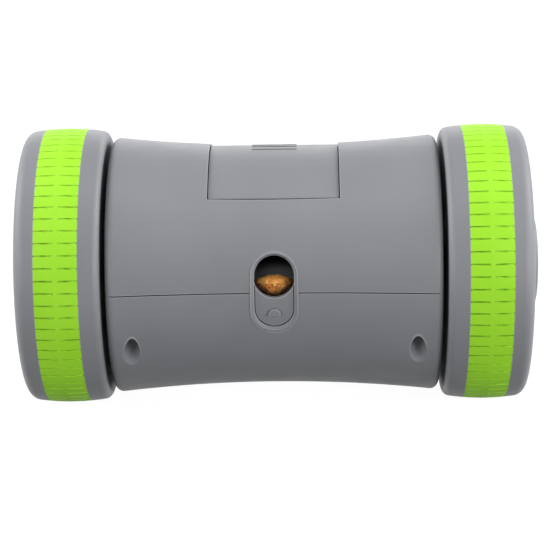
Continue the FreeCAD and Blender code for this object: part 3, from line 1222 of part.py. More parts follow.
def wheel_outer_shell():
    """Outer half of a wheel: drum, rounded rim, gently raised face, cap seat, hub tube and screw bosses."""
    cap_seat = CAP_RADIUS + CAP_GAP
    face_x = WHEEL_OUTER_X + WHEEL_FACE_RISE
    rim_radius = crown_radius(WHEEL_OUTER_X)
    rim = turned([crown_arc(TREAD_OUTER_X, WHEEL_OUTER_X)] + lines_through([
        (WHEEL_OUTER_X, rim_radius), (face_x, cap_seat), (face_x, 0), (WHEEL_JOIN_X, 0),
        (WHEEL_JOIN_X, TREAD_SEAT_RADIUS), (TREAD_OUTER_X, TREAD_SEAT_RADIUS),
        (TREAD_OUTER_X, crown_radius(TREAD_OUTER_X))]))
    rim = rim.makeFillet(WHEEL_OUTER_ROUNDING, circles_at(rim, WHEEL_OUTER_X, rim_radius))
    hollow_radius = TREAD_SEAT_RADIUS - WHEEL_WALL
    hollow = rod_x(hollow_radius, WHEEL_JOIN_X - PAST, WHEEL_OUTER_X - WHEEL_WALL)
    corner = hollow_radius - WHEEL_OUTER_ROUNDING
    hollow = hollow.makeFillet(WHEEL_OUTER_ROUNDING - WHEEL_WALL,
                               circles_at(hollow, WHEEL_OUTER_X - WHEEL_WALL, hollow_radius))
    floor_x = CAP_FLOOR_X - HUB_FLOOR
    cup = rod_x(min(cap_seat + WHEEL_WALL, corner), floor_x, WHEEL_OUTER_X)
    hub = rod_x(WHEEL_HUB_RADIUS, WHEEL_JOIN_X, CAP_FLOOR_X)
    boss_end = WHEEL_OUTER_X - WHEEL_WALL / 2
    bosses = [rod_x(WHEEL_BOSS_RADIUS, WHEEL_JOIN_X, boss_end, y, z) for y, z in boss_places()]
    shell = joined(rim.cut(hollow), cup, hub, *bosses)
    cuts = [rod_x(AXLE_RADIUS, 0, floor_x), rod_x(cap_seat, CAP_FLOOR_X, REACH)]
    cuts.append(rod_x(AXLE_SCREW_RADIUS + SCREW_HOLE_CLEARANCE, floor_x - PAST, REACH))
    for y, z in boss_places():
        screw_tip = wheel_screw_seat() + WHEEL_SCREW_LENGTH
        cuts.append(rod_x(WHEEL_SCREW_RADIUS, WHEEL_JOIN_X - PAST, screw_tip, y, z))
    return shell.cut(cuts)


def wheel_screw_seat():
    return WHEEL_INNER_X + WHEEL_SCREW_RECESS


def wheel_screws():
    screws = []
    for y, z in boss_places():
        screws.append(screw(rod_x, WHEEL_SCREW_RADIUS, WHEEL_SCREW_HEAD_RADIUS, WHEEL_SCREW_HEAD,
                            wheel_screw_seat(), wheel_screw_seat() + WHEEL_SCREW_LENGTH, y, z))
    return Part.makeCompound(screws)


def tread_star(x):
    """The lands of one row, seen along X, as a star that reaches past the tread and under its grooves."""
    step = 2 * math.pi / TREAD_LANDS
    groove = TREAD_GROOVE_WIDTH / WHEEL_RADIUS
    tip = WHEEL_RADIUS + PAST
    root = TREAD_SEAT_RADIUS + BITE
    points = []
    for land in range(TREAD_LANDS):
        start = land * step - (step - groove) / 2
        end = land * step + (step - groove) / 2
        for radius, turn in ((root, start), (tip, start), (tip, end), (root, end)):
            points.append(V(x, radius * math.cos(turn), radius * math.sin(turn)))
    return Part.Face(Part.makePolygon(points + [points[0]]))


def wheel_tread():
    """Soft crowned band with two rows of cross grooves either side of a plain strip."""
    row = tread_star(TREAD_INNER_X).extrude(X_AXIS * TREAD_ROW)
    other = tread_star(TREAD_OUTER_X - TREAD_ROW).extrude(X_AXIS * TREAD_ROW)
    strip = rod_x(WHEEL_RADIUS + PAST, TREAD_INNER_X + TREAD_ROW, TREAD_OUTER_X - TREAD_ROW)
    lands = crowned_disc(TREAD_INNER_X, TREAD_OUTER_X).common(strip.fuse([row, other]))
    band = crowned_disc(TREAD_INNER_X, TREAD_OUTER_X, TREAD_GROOVE_DEPTH)
    seat = rod_x(TREAD_SEAT_RADIUS, 0, REACH)
    return band.fuse(lands).cut(seat)


def hub_cap():
    """Round cap with a rounded edge over the axle screw."""
    cap = rod_x(CAP_RADIUS, CAP_FLOOR_X, CAP_OUTER_X)
    cap = cap.makeFillet(CAP_ROUNDING, circles_at(cap, CAP_OUTER_X, CAP_RADIUS))
    return cap.cut(rod_x(CAP_RADIUS - CAP_SKIRT, CAP_FLOOR_X - PAST, CAP_OUTER_X - CAP_PLATE))


def one_sided_pieces():
    """Pieces that come as a left one and a right one, modelled at the right."""
    return {
        "gearbox_frame": gearbox_frame(),
        "gearbox_cover": gearbox_cover(),
        "motor": motor(),
        "motor_pinion": motor_pinion(),
        "first_gear": first_gear(),
        "second_gear": second_gear(),
        "output_gear": output_gear(),
        "axle": axle(),
        "axle_clip": axle_clip(),
        "axle_screw": axle_screw(),
        "wheel_inner_shell": wheel_inner_shell(),
        "wheel_outer_shell": wheel_outer_shell(),
        "wheel_screws": wheel_screws(),
        "tread": wheel_tread(),
        "hub_cap": hub_cap(),
    }


def single_pieces():
    casing = whole_casing()
    front_frame = gate_frame()
    front_slider = gate()
    return {
        "upper_housing": upper_housing(casing),
        "lower_housing": lower_housing(casing),
        "housing_screws": housing_screws(),
        "front_gate_frame": front_frame,
        "rear_gate_frame": turned_back(front_frame),
        "front_gate": front_slider,
        "rear_gate": turned_back(front_slider),
        "fill_door": fill_door(),
        "door_hinge_pin": door_hinge_pin(),
        "hopper_tray": hopper_tray(),
        "hopper_screws": hopper_screws(),
        "battery_cells": battery_cells(),
        "battery_contacts": battery_contacts(),
        "battery_springs": battery_springs(),
        "battery_door": battery_door(),
        "battery_door_screws": battery_door_screws(),
        "circuit_board": circuit_board(),
        "board_components": board_components(),
        "board_screws": board_screws(),
        "power_switch": power_switch(),
        "power_button": power_button(),
        "switch_plunger": switch_plunger(),
        "gearbox_screws": gearbox_screws(),
        "gearbox_mount_screws": gearbox_mount_screws(),
        "motor_screws": motor_screws(),
        "gear_pins": gear_pins(),
        "outer_bushes": Part.makeCompound(both_ends(outer_bush())),
        "inner_bushes": Part.makeCompound(both_ends(inner_bush())),
    }


os.makedirs("parts", exist_ok=True)
pieces = single_pieces()
for name, shape in one_sided_pieces().items():
    pieces["right_" + name] = shape
    pieces["left_" + name] = mirrored(shape)
for name, shape in pieces.items():
    shape.exportStep("parts/" + name + ".step")
print(len(pieces), "pieces written")
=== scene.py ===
# %% [markdown]
# # A rolling treat dispenser, dressed for its photograph
# This toy is an hourglass body between two driven wheels. Kibble goes in under a door on
# top and falls out through a hole at the front or back as the toy rolls.
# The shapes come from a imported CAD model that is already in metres, at its real size and
# place. Blender adds the looks: soft rubber treads, kibble, battery cells with their coil
# springs, finishes, lamps and a camera.
# Nothing of the CAD model is moved here, so every pose that it can take still works.

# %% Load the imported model
import json
import math
import bmesh
import bpy
from mathutils import Matrix, Vector, noise


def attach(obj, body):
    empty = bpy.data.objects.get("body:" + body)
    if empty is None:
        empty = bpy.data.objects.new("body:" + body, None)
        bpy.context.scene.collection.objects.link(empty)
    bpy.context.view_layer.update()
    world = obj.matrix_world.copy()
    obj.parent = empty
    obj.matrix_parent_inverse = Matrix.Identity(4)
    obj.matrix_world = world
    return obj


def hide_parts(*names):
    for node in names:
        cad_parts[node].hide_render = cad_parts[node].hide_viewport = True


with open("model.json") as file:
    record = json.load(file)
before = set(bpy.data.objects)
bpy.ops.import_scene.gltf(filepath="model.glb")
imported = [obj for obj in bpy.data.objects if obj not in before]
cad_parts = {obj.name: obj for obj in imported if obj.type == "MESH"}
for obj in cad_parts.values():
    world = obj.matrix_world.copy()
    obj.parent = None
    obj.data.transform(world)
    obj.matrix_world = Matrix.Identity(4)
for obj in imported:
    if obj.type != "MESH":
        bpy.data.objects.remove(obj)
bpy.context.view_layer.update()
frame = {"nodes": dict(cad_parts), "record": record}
scene = bpy.context.scene
MM = 0.001

# %% [markdown]
# ## The camera
# A product photograph is taken from far off with a long lens, which keeps both wheels
# nearly the same size. How fast the two wheels' outlines shrink away from the middle
# gave the distance, and the wheels' real diameter then gave the focal length.
# The body's seam is a level line on the toy, and it sits low in the picture, so the
# camera looks down at it by 14.1 degrees. The whole set is tilted by that angle.

# %% Place the camera
PHOTO_PIXELS = 550
FOCAL_PIXELS = 1978.2
SENSOR = 36.0
LOOK_DOWN = math.radians(14.1)
CAMERA_STAND = Vector((12.91, -827.04, -2.25)) * MM
YAW, PITCH, ROLL = (math.radians(angle) for angle in (-0.920, -0.192, -0.587))

tilt = Matrix.Rotation(-LOOK_DOWN, 3, "X")
ahead = Vector((math.sin(YAW) * math.cos(PITCH), math.cos(YAW) * math.cos(PITCH), math.sin(PITCH)))
level = Vector((math.cos(YAW), -math.sin(YAW), 0))
above = level.cross(ahead)
right = math.cos(ROLL) * level + math.sin(ROLL) * above
up = math.cos(ROLL) * above - math.sin(ROLL) * level
turn = Matrix((right, up, -ahead)).transposed()

lens = bpy.data.cameras.new("camera")
lens.sensor_width = SENSOR
lens.lens = FOCAL_PIXELS * SENSOR / PHOTO_PIXELS
camera = bpy.data.objects.new("camera", lens)
camera.matrix_world = Matrix.Translation(tilt @ CAMERA_STAND) @ (tilt @ turn).to_4x4()
scene.collection.objects.link(camera)
scene.camera = camera
print("lens in mm:", round(lens.lens, 2))

# %% [markdown]
# ## Helpers for finishes
# Colours are easiest to read as sRGB hex values, as on a paint card, but shaders add up
# light, so one function turns them to linear values.
# A material is a small network of nodes. One function adds a node with its settings and
# its links, and every finish below is made with it.

# %% Colour and node helpers
SRGB_KNEE = 0.04045


def linear(hex_colour):
    """An sRGB hex colour as the linear values that shaders work with."""
    channels = []
    for start in (1, 3, 5):
        part = int(hex_colour[start:start + 2], 16) / 255
        channels.append(part / 12.92 if part <= SRGB_KNEE else ((part + 0.055) / 1.055) ** 2.4)
    return channels + [1.0]


def add(tree, kind, settings=None, links=None):
    """Adds one node. Settings are sockets, by name or number, or the node's own properties."""
    node = tree.nodes.new(kind)
    for key, value in (settings or {}).items():
        if isinstance(key, int) or key in node.inputs:
            node.inputs[key].default_value = value
        else:
            setattr(node, key, value)
    for key, socket in (links or {}).items():
        tree.links.new(socket, node.inputs[key])
    return node


def start_finish(name, hex_colour, roughness, **shine):
    """A material with a Principled shader. Uniform values sit on the shader's own sockets."""
    material = bpy.data.materials.new(name)
    material.use_nodes = True
    tree = material.node_tree
    tree.nodes.clear()
    base = {"Base Color": linear(hex_colour), "Roughness": roughness}
    shader = add(tree, "ShaderNodeBsdfPrincipled", base)
    for key, value in shine.items():
        shader.inputs[key.replace("_", " ")].default_value = value
    add(tree, "ShaderNodeOutputMaterial", links={"Surface": shader.outputs["BSDF"]})
    place = add(tree, "ShaderNodeTexCoord").outputs["Object"]
    return material, tree, shader, place


# %% [markdown]
# ## Studio
# The floor and the backdrop are plain white in the picture, but they must not bleach the
# underside of the toy. So the floor looks white to the camera and in reflections, while
# the light that it throws back up is that of a dark grey. A share of the white comes from
# the lamps, and that share keeps the toy's soft shadow.

# %% Floor and world
WHEEL_RADIUS = 57.0 * MM
FLOOR_HALF = 3.0
FLOOR_GLOW = 0.96
FLOOR_LIT_SHARE = 0.12
AMBIENT = 0.10


def seen_directly(tree):
    """1 for rays from the camera, a reflection or something clear, and 0 for all others."""
    ray = add(tree, "ShaderNodeLightPath")
    shiny = add(tree, "ShaderNodeMath", {"operation": "MAXIMUM"},
                {0: ray.outputs["Is Camera Ray"], 1: ray.outputs["Is Glossy Ray"]})
    seen = add(tree, "ShaderNodeMath", {"operation": "MAXIMUM"},
               {0: shiny.outputs[0], 1: ray.outputs["Is Transmission Ray"]})
    return seen.outputs[0]


floor_paint = bpy.data.materials.new("matt studio floor")
floor_paint.use_nodes = True
tree = floor_paint.node_tree
tree.nodes.clear()
grey = add(tree, "ShaderNodeBsdfDiffuse", {"Color": linear("#464646")})
lit = add(tree, "ShaderNodeBsdfDiffuse", {"Color": [FLOOR_LIT_SHARE] * 3 + [1.0]})
glow = add(tree, "ShaderNodeEmission", {"Color": linear("#FFFFFF"), "Strength": FLOOR_GLOW})
white = add(tree, "ShaderNodeAddShader", links={0: lit.outputs[0], 1: glow.outputs[0]})
shown = add(tree, "ShaderNodeMixShader",
            links={0: seen_directly(tree), 1: grey.outputs[0], 2: white.outputs[0]})
add(tree, "ShaderNodeOutputMaterial", links={"Surface": shown.outputs[0]})

bm = bmesh.new()
bmesh.ops.create_grid(bm, x_segments=1, y_segments=1, size=FLOOR_HALF)
bmesh.ops.translate(bm, verts=bm.verts, vec=(0, 0, -WHEEL_RADIUS))
floor_mesh = bpy.data.meshes.new("floor")
bm.to_mesh(floor_mesh)
bm.free()
floor_mesh.materials.append(floor_paint)
floor = bpy.data.objects.new("floor", floor_mesh)
scene.collection.objects.link(floor)

world = bpy.data.worlds.new("white studio")
world.use_nodes = True
scene.world = world
tree = world.node_tree
tree.nodes.clear()
strength = add(tree, "ShaderNodeMapRange", {"To Min": AMBIENT, "To Max": 1.0},
               {"Value": seen_directly(tree)})
sky = add(tree, "ShaderNodeBackground", {"Color": linear("#FFFFFF")},
          {"Strength": strength.outputs[0]})
add(tree, "ShaderNodeOutputWorld", links={"Surface": sky.outputs[0]})
scene.view_settings.view_transform = "Standard"
print("floor at z in mm:", round(-WHEEL_RADIUS / MM, 1))

# %% [markdown]
# Six soft boxes light the set, placed round the camera's own line of sight. The two high
# ones stand level with the toy's ends, so their light grazes the body and draws a light
# line down every rounded rim. Two low ones fill the front, the right one a little
# stronger, and one overhead lights the tops. The last stands behind the toy and reaches
# only what curves away over the top, which turns pale there.

# %% Hang the lamps
LAMP_DISTANCE = 1.4
# name, width and height in m, degrees across and above the camera's line of sight, watts
LAMPS = (
    ("left high box", 0.7, 0.7, -90, 30, 17.9),
    ("right high box", 0.7, 0.7, 90, 30, 16.8),
    ("left low box", 0.9, 0.35, -50, 2, 10.2),
    ("right low box", 0.9, 0.35, 50, 2, 15.0),
    ("overhead box", 1.4, 0.5, 0, 60, 4.6),
    ("back box", 1.4, 0.5, 0, 145, 5.5),
)

for name, width, height, across, above_view, watts in LAMPS:
    lamp = bpy.data.lights.new(name, "AREA")
    lamp.shape = "RECTANGLE"
    lamp.size = width
    lamp.size_y = height
    lamp.energy = watts
    stand = bpy.data.objects.new(name, lamp)
    turned, raised = math.radians(across), math.radians(above_view)
    way = Vector((math.sin(turned) * math.cos(raised),
                  -math.cos(turned) * math.cos(raised), math.sin(raised)))
    spot = tilt @ (way * LAMP_DISTANCE)
    aim = (-spot).to_track_quat("-Z", "Y").to_matrix().to_4x4()
    stand.matrix_world = Matrix.Translation(spot) @ aim
    scene.collection.objects.link(stand)
    print(name, "at height", round(spot.z, 2), "m,", watts, "W")

# %% [markdown]
# ## Grey plastic
# Seams and narrow gaps get painted shade, a darker colour where little light gets in.
# Body, wheels, doors and gates are injection moulded ABS with a fine spark-eroded grain.
# ABS has an IOR near 1.54. The grain makes it satin, with roughness near a half.
# The real grain is about 0.1 mm, too fine for this picture, so it is drawn at 0.5 mm.
# Moulded edges are never knife sharp. A Bevel node bends the shading round the last
# quarter millimetre of each edge, so edges catch a thin light line as real ones do.
# Outer edges also get a painted highlight, a paler colour where they would catch the light, and it
# is stronger on the gates and their frames.
# No surface is quite even, so slow noise lets its colour and roughness wander a little.
# The helpers for that come first, because every finish below shares them.

# %% Pattern helpers
AO_SAMPLES = 8
BEVEL_SAMPLES = 6
# most of a noise texture's values lie between these
NOISE_LOW, NOISE_HIGH = 0.3, 0.7
# how open a place is to the sky, from 0 to 1, deep in a gap and out in the open, for the painted
# shade in gaps
IN_GAP, IN_OPEN = 0.40, 0.80
# the same measured under the skin, on an outer edge and away from it, for the painted edge
# highlight
AT_EDGE, OFF_EDGE = 0.55, 0.92
# how much of the paler colour of the painted edge highlight an outer edge takes
EDGE_HIGHLIGHT_SHARE = 0.8


def grain(tree, place, size, depth, rounding=0.0):
    """A bump of small grains, both in metres. A rounding softens hard edges in the shading."""
    spots = add(tree, "ShaderNodeTexNoise", {"Scale": 1 / size, "Detail": 2.0}, {"Vector": place})
    links = {"Height": spots.outputs[0]}
    if rounding:
        edge = add(tree, "ShaderNodeBevel", {"samples": BEVEL_SAMPLES, "Radius": rounding})
        links["Normal"] = edge.outputs[0]
    return add(tree, "ShaderNodeBump", {"Strength": 1.0, "Distance": depth}, links).outputs[0]


def patches(tree, place, size, low, high):
    """A slow wander between two values over patches of the given size in metres."""
    cloud = add(tree, "ShaderNodeTexNoise", {"Scale": 1 / size, "Detail": 3.0}, {"Vector": place})
    spread = {"From Min": NOISE_LOW, "From Max": NOISE_HIGH, "To Min": low, "To Max": high}
    return add(tree, "ShaderNodeMapRange", spread, {"Value": cloud.outputs[0]}).outputs[0]


def tinted(tree, place, size, first, second):
    """A colour that wanders between two hex colours over patches of the given size."""
    share = patches(tree, place, size, 0, 1)
    return add(tree, "ShaderNodeMix", {"data_type": "RGBA", 6: linear(first), 7: linear(second)},
               {0: share}).outputs[2]


def painted_gap_shade(tree, colour, reach, darkest):
    """Darkens a colour socket in narrow gaps: painted shade where little light gets in."""
    open_sky = add(tree, "ShaderNodeAmbientOcclusion", {"samples": AO_SAMPLES, "Distance": reach})
    shade = add(tree, "ShaderNodeMapRange",
                {"From Min": IN_GAP, "From Max": IN_OPEN, "To Min": darkest, "To Max": 1.0},
                {"Value": open_sky.outputs["AO"]})
    return add(tree, "ShaderNodeMix", {"data_type": "RGBA", "blend_type": "MULTIPLY", 0: 1.0},
               {6: colour, 7: shade.outputs[0]}).outputs[2]


def painted_edge_highlight(tree, colour, reach, pale):
    """Blends a colour socket to a paler one on outer edges, a painted highlight for the light that
    edges catch.
    """
    under_skin = add(tree, "ShaderNodeAmbientOcclusion",
                     {"samples": AO_SAMPLES, "Distance": reach, "inside": True})
    edge = add(tree, "ShaderNodeMapRange",
               {"From Min": AT_EDGE, "From Max": OFF_EDGE, "To Min": EDGE_HIGHLIGHT_SHARE, "To Max": 0.0},
               {"Value": under_skin.outputs["AO"]})
    return add(tree, "ShaderNodeMix", {"data_type": "RGBA", 7: linear(pale)},
               {0: edge.outputs[0], 6: colour}).outputs[2]


# %% Grey ABS
finishes = {}


def grey_abs(name, edge_reach, pale):
    """Grained grey plastic whose outer edges get a painted highlight, paler than the rest over the
    given reach.
    """
    material, tree, shader, place = start_finish(name, "#7F8185", 0.5, IOR=1.54,
                                                 Specular_IOR_Level=0.22)
    tint = tinted(tree, place, 30 * MM, "#7B7D81", "#808286")
    # painted highlight: outer edges are given a paler colour, as if they caught the light
    with_edge_highlight = painted_edge_highlight(tree, tint, edge_reach, pale)
    # painted shade: the colour is darkened in seams and gaps within 1.2 mm
    tree.links.new(painted_gap_shade(tree, with_edge_highlight, 1.2 * MM, 0.04), shader.inputs["Base Color"])
    tree.links.new(patches(tree, place, 12 * MM, 0.46, 0.54), shader.inputs["Roughness"])
    tree.links.new(grain(tree, place, 0.5 * MM, 0.006 * MM, 0.25 * MM), shader.inputs["Normal"])
    return material


finishes["grey_abs"] = grey_abs("spark-grained grey ABS", 0.5 * MM, "#A2A3A7")
# a stronger painted highlight on the edges of the gates and their frames
abs_with_strong_edge_highlight = grey_abs("grey ABS with strong painted edge highlights", 0.6 * MM, "#B2B3B7")
print("grey ABS: grain drawn at 0.5 mm")

# %% [markdown]
# ## Lime rubber
# The treads are moulded from a soft thermoplastic rubber, dyed right through. Rubber
# scatters light inside its skin and has only a weak shine, so it looks flat and bright
# from the front and deep green where it turns away from the lamps.

# %% Lime rubber
rubber, tree, shader, place = start_finish("moulded lime rubber", "#9DDD31", 0.6, IOR=1.5,
                                           Diffuse_Roughness=0.2, Specular_IOR_Level=0.2)
tree.links.new(tinted(tree, place, 20 * MM, "#9ADB2C", "#A1E036"), shader.inputs["Base Color"])
tree.links.new(patches(tree, place, 8 * MM, 0.55, 0.66), shader.inputs["Roughness"])
tree.links.new(grain(tree, place, 0.4 * MM, 0.008 * MM), shader.inputs["Normal"])
finishes["lime_rubber"] = rubber
print("rubber: shine level 0.2")

# %% [markdown]
# ## Metals
# Screws are zinc plated, and their clear passivation leaves a faint yellow and blue
# bloom. Axles and pins are ground steel, with fine rings left round them by the wheel
# that ground them. Bushes are pressed from bronze powder, which leaves small dark pores.
# Motor cans are drawn from sheet, with long faint lines. Contacts are nickel plated.
# All keep the default IOR, because a metal's colour carries its reflection.

# %% Zinc-plated screws
zinc, tree, shader, place = start_finish("zinc-plated steel", "#C3C7CB", 0.32, Metallic=1.0)
tree.links.new(tinted(tree, place, 2.5 * MM, "#CCC8B8", "#BAC3D0"), shader.inputs["Base Color"])
tree.links.new(patches(tree, place, 1.5 * MM, 0.26, 0.40), shader.inputs["Roughness"])
tree.links.new(grain(tree, place, 0.3 * MM, 0.004 * MM, 0.1 * MM), shader.inputs["Normal"])
finishes["zinc_steel"] = zinc
print("zinc: bloom patches of 2.5 mm")

# %% Ground axles and pins
def drawn_out(tree, place, sizes, detail, low, high):
    """Noise drawn out to sizes along x, y and z in metres: raw, and spread between two values."""
    scale = [1 / size for size in sizes]
    drawn = add(tree, "ShaderNodeMapping", {"Scale": scale}, {"Vector": place})
    lines = add(tree, "ShaderNodeTexNoise", {"Scale": 1.0, "Detail": detail},
                {"Vector": drawn.outputs[0]}).outputs[0]
    spread = {"From Min": NOISE_LOW, "From Max": NOISE_HIGH, "To Min": low, "To Max": high}
    return lines, add(tree, "ShaderNodeMapRange", spread, {"Value": lines}).outputs[0]


ground, tree, shader, place = start_finish("ground steel", "#C9CACC", 0.20, Metallic=1.0)
rings, satin = drawn_out(tree, place, (0.25 * MM, 6 * MM, 6 * MM), 3.0, 0.16, 0.30)
tree.links.new(satin, shader.inputs["Roughness"])
bump = add(tree, "ShaderNodeBump", {"Strength": 1.0, "Distance": 0.002 * MM}, {"Height": rings})
tree.links.new(bump.outputs[0], shader.inputs["Normal"])
finishes["ground_steel"] = ground
print("ground steel: rings 0.25 mm apart, drawn coarser than real ones")

# %% Sintered bronze bushes
bronze, tree, shader, place = start_finish("sintered bronze", "#B98A55", 0.42, Metallic=1.0)
pores = add(tree, "ShaderNodeTexVoronoi", {"Scale": 1 / (0.35 * MM)}, {"Vector": place})
solid = add(tree, "ShaderNodeMapRange", {"From Min": 0.12, "From Max": 0.28},
            {"Value": pores.outputs["Distance"]})
pore_and_metal = {"data_type": "RGBA", 6: linear("#6E4C2A"), 7: linear("#BE8F5A")}
tint = add(tree, "ShaderNodeMix", pore_and_metal, {0: solid.outputs[0]})
tree.links.new(tint.outputs[2], shader.inputs["Base Color"])
bump = add(tree, "ShaderNodeBump", {"Strength": 1.0, "Distance": 0.02 * MM},
           {"Height": solid.outputs[0]})
tree.links.new(bump.outputs[0], shader.inputs["Normal"])
tree.links.new(patches(tree, place, 1 * MM, 0.36, 0.50), shader.inputs["Roughness"])
finishes["bronze"] = bronze
print("bronze: pores 0.35 mm apart")

# %% Drawn motor cans
can, tree, shader, place = start_finish("drawn steel can", "#B6B9BD", 0.30, Metallic=1.0)
lines, satin = drawn_out(tree, place, (8 * MM, 0.3 * MM, 0.3 * MM), 3.0, 0.24, 0.40)
tree.links.new(satin, shader.inputs["Roughness"])
edge = add(tree, "ShaderNodeBevel", {"samples": BEVEL_SAMPLES, "Radius": 0.3 * MM})
bump = add(tree, "ShaderNodeBump", {"Strength": 1.0, "Distance": 0.003 * MM},
           {"Height": lines, "Normal": edge.outputs[0]})
tree.links.new(bump.outputs[0], shader.inputs["Normal"])
finishes["motor_can"] = can
print("drawn can: lines 0.3 mm apart along the motor")

# %% Nickel-plated contacts
nickel, tree, shader, place = start_finish("nickel-plated steel", "#CFCBC2", 0.24, Metallic=1.0)
tree.links.new(patches(tree, place, 1.2 * MM, 0.18, 0.34), shader.inputs["Roughness"])
tree.links.new(grain(tree, place, 0.25 * MM, 0.003 * MM, 0.1 * MM), shader.inputs["Normal"])
finishes["contact_plate"] = nickel
print("nickel: patches of 1.2 mm")

# %% [markdown]
# ## Inner plastics
# Gears are natural acetal, an opaque milky white that light enters a little way. The
# hopper tray and the motor caps are black nylon, whose glass fibres leave fine streaks.
# The circuit board is glass cloth under green solder mask: the cloth shows as a faint
# weave, and the copper under the mask shows as lighter lines. Its parts are black
# moulded resin. The battery cells wear a shrunk sleeve.

# %% Acetal gears
acetal, tree, shader, place = start_finish(
    "natural white acetal", "#E9E9E2", 0.36, IOR=1.48, Subsurface_Weight=0.2,
    Subsurface_Radius=(1.0, 1.0, 0.9), Subsurface_Scale=0.5 * MM)
tree.links.new(patches(tree, place, 3 * MM, 0.30, 0.42), shader.inputs["Roughness"])
tree.links.new(grain(tree, place, 0.4 * MM, 0.003 * MM, 0.12 * MM), shader.inputs["Normal"])
finishes["white_acetal"] = acetal
print("acetal: light enters 0.5 mm")

# %% Black nylon
nylon, tree, shader, place = start_finish("black glass-filled nylon", "#0B0B0C", 0.6, IOR=1.53,
                                          Specular_IOR_Level=0.05)
fibres, satin = drawn_out(tree, place, (4 * MM, 0.5 * MM, 4 * MM), 4.0, 0.55, 0.70)
tree.links.new(satin, shader.inputs["Roughness"])
two_blacks = {"data_type": "RGBA", 6: linear("#09090A"), 7: linear("#0E0E0F")}
tint = add(tree, "ShaderNodeMix", two_blacks, {0: fibres})
tree.links.new(tint.outputs[2], shader.inputs["Base Color"])
tree.links.new(grain(tree, place, 0.4 * MM, 0.006 * MM, 0.2 * MM), shader.inputs["Normal"])
finishes["black_plastic"] = nylon
print("nylon: streaks 0.5 mm wide")

# %% Circuit board
board, tree, shader, place = start_finish("solder mask on glass cloth", "#1C5A33", 0.30, IOR=1.52)
copper_lines = {
    "Scale": 1 / (4 * MM), "Mortar Size": 0.06, "Mortar Smooth": 0.1,
    "Color1": linear("#1A5430"), "Color2": linear("#1E5E36"), "Mortar": linear("#2F7D48"),
}
cloth = add(tree, "ShaderNodeTexBrick", copper_lines, {"Vector": place})
tree.links.new(cloth.outputs["Color"], shader.inputs["Base Color"])
weave = add(tree, "ShaderNodeTexChecker", {"Scale": 1 / (0.5 * MM)}, {"Vector": place})
bump = add(tree, "ShaderNodeBump", {"Strength": 0.6, "Distance": 0.01 * MM},
           {"Height": weave.outputs["Fac"]})
tree.links.new(bump.outputs[0], shader.inputs["Normal"])
finishes["board_laminate"] = board
print("board: weave 0.5 mm, copper lines 4 mm apart")

# %% Board parts and cell sleeve
resin, tree, shader, place = start_finish("moulded black resin", "#202023", 0.50, IOR=1.55)
tree.links.new(patches(tree, place, 2 * MM, 0.44, 0.58), shader.inputs["Roughness"])
tree.links.new(grain(tree, place, 0.25 * MM, 0.006 * MM, 0.15 * MM), shader.inputs["Normal"])
finishes["board_parts"] = resin

sleeve, tree, shader, place = start_finish("shrunk blue sleeve", "#2B5D8C", 0.28, IOR=1.53,
                                           Coat_Weight=0.3)
tree.links.new(tinted(tree, place, 6 * MM, "#28578A", "#2F6496"), shader.inputs["Base Color"])
tree.links.new(grain(tree, place, 1.5 * MM, 0.01 * MM), shader.inputs["Normal"])
finishes["cell_can"] = sleeve
print("resin grains 0.25 mm, sleeve ripples 1.5 mm")

# %% Put the finishes on the CAD nodes
# parts whose edges get the stronger painted highlight
STRONG_EDGE_HIGHLIGHT_PARTS = ("front_gate", "rear_gate", "front_gate_frame", "rear_gate_frame")

for part in frame["record"]["subparts"]:
    finish = abs_with_strong_edge_highlight if part["node"] in STRONG_EDGE_HIGHLIGHT_PARTS else finishes[part["material_slot"]]
    for holder in frame["nodes"][part["node"]].material_slots:
        holder.material = finish
print("nodes finished:", len(frame["nodes"]))

# %% [markdown]
# ## Treads
# Each wheel wears a ring of soft rubber. Two rows of shallow cross grooves, 72 to a turn,
# leave a plain strip between them, and the face is crowned, a little higher in the middle.
# A texture could fake the grooves, but their open ends notch the tread's sides, so they
# are modelled. A cross-section at the depth of the grooves is spun about the axle, in
# long steps for the lands and short ones for the grooves. Then everything but the
# grooves is raised, and its rims are bevelled, because rubber can't fill a sharp corner.

# %% Helpers for new pieces
WELD = 0.001 * MM


def turn_verts(bm, verts, angle, axis):
    """Turns vertices about an axis through the origin, by an angle in radians."""
    bmesh.ops.rotate(bm, cent=(0, 0, 0), verts=verts, matrix=Matrix.Rotation(angle, 3, axis))


def from_axle(point):
    """The way straight out to a point from the x axis, which is the wheels' axle."""
    return Vector((0, point.y, point.z))


def add_piece(name, bm, body, material):
    """Makes a finished bmesh an object at the origin that rides on a CAD body."""
    mesh = bpy.data.meshes.new(name)
    bm.to_mesh(mesh)
    bm.free()
    mesh.materials.append(material)
    piece = bpy.data.objects.new(name, mesh)
    scene.collection.objects.link(piece)
    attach(piece, body)
    print(name + ":", len(mesh.polygons), "faces")
    return piece


# %% Spin the ring
TREAD_MIDDLE = 85.45 * MM
CROWN = 95.0 * MM
SEAT_RADIUS = 53.4 * MM
ROW = 7.7 * MM
HALF_STRIP = 0.9 * MM
LANDS = 72
LAND_STEPS = 3
GROOVE_WIDTH = 0.65 * MM
GROOVE_DEPTH = 0.12 * MM
LAND_PITCH = math.tau / LANDS
GROOVE_ANGLE = GROOVE_WIDTH / WHEEL_RADIUS


def crown_radius(x):
    """Radius of the tread's face at a distance x from its middle, on an arc across the wheel."""
    return WHEEL_RADIUS - CROWN + math.sqrt(CROWN ** 2 - x ** 2)


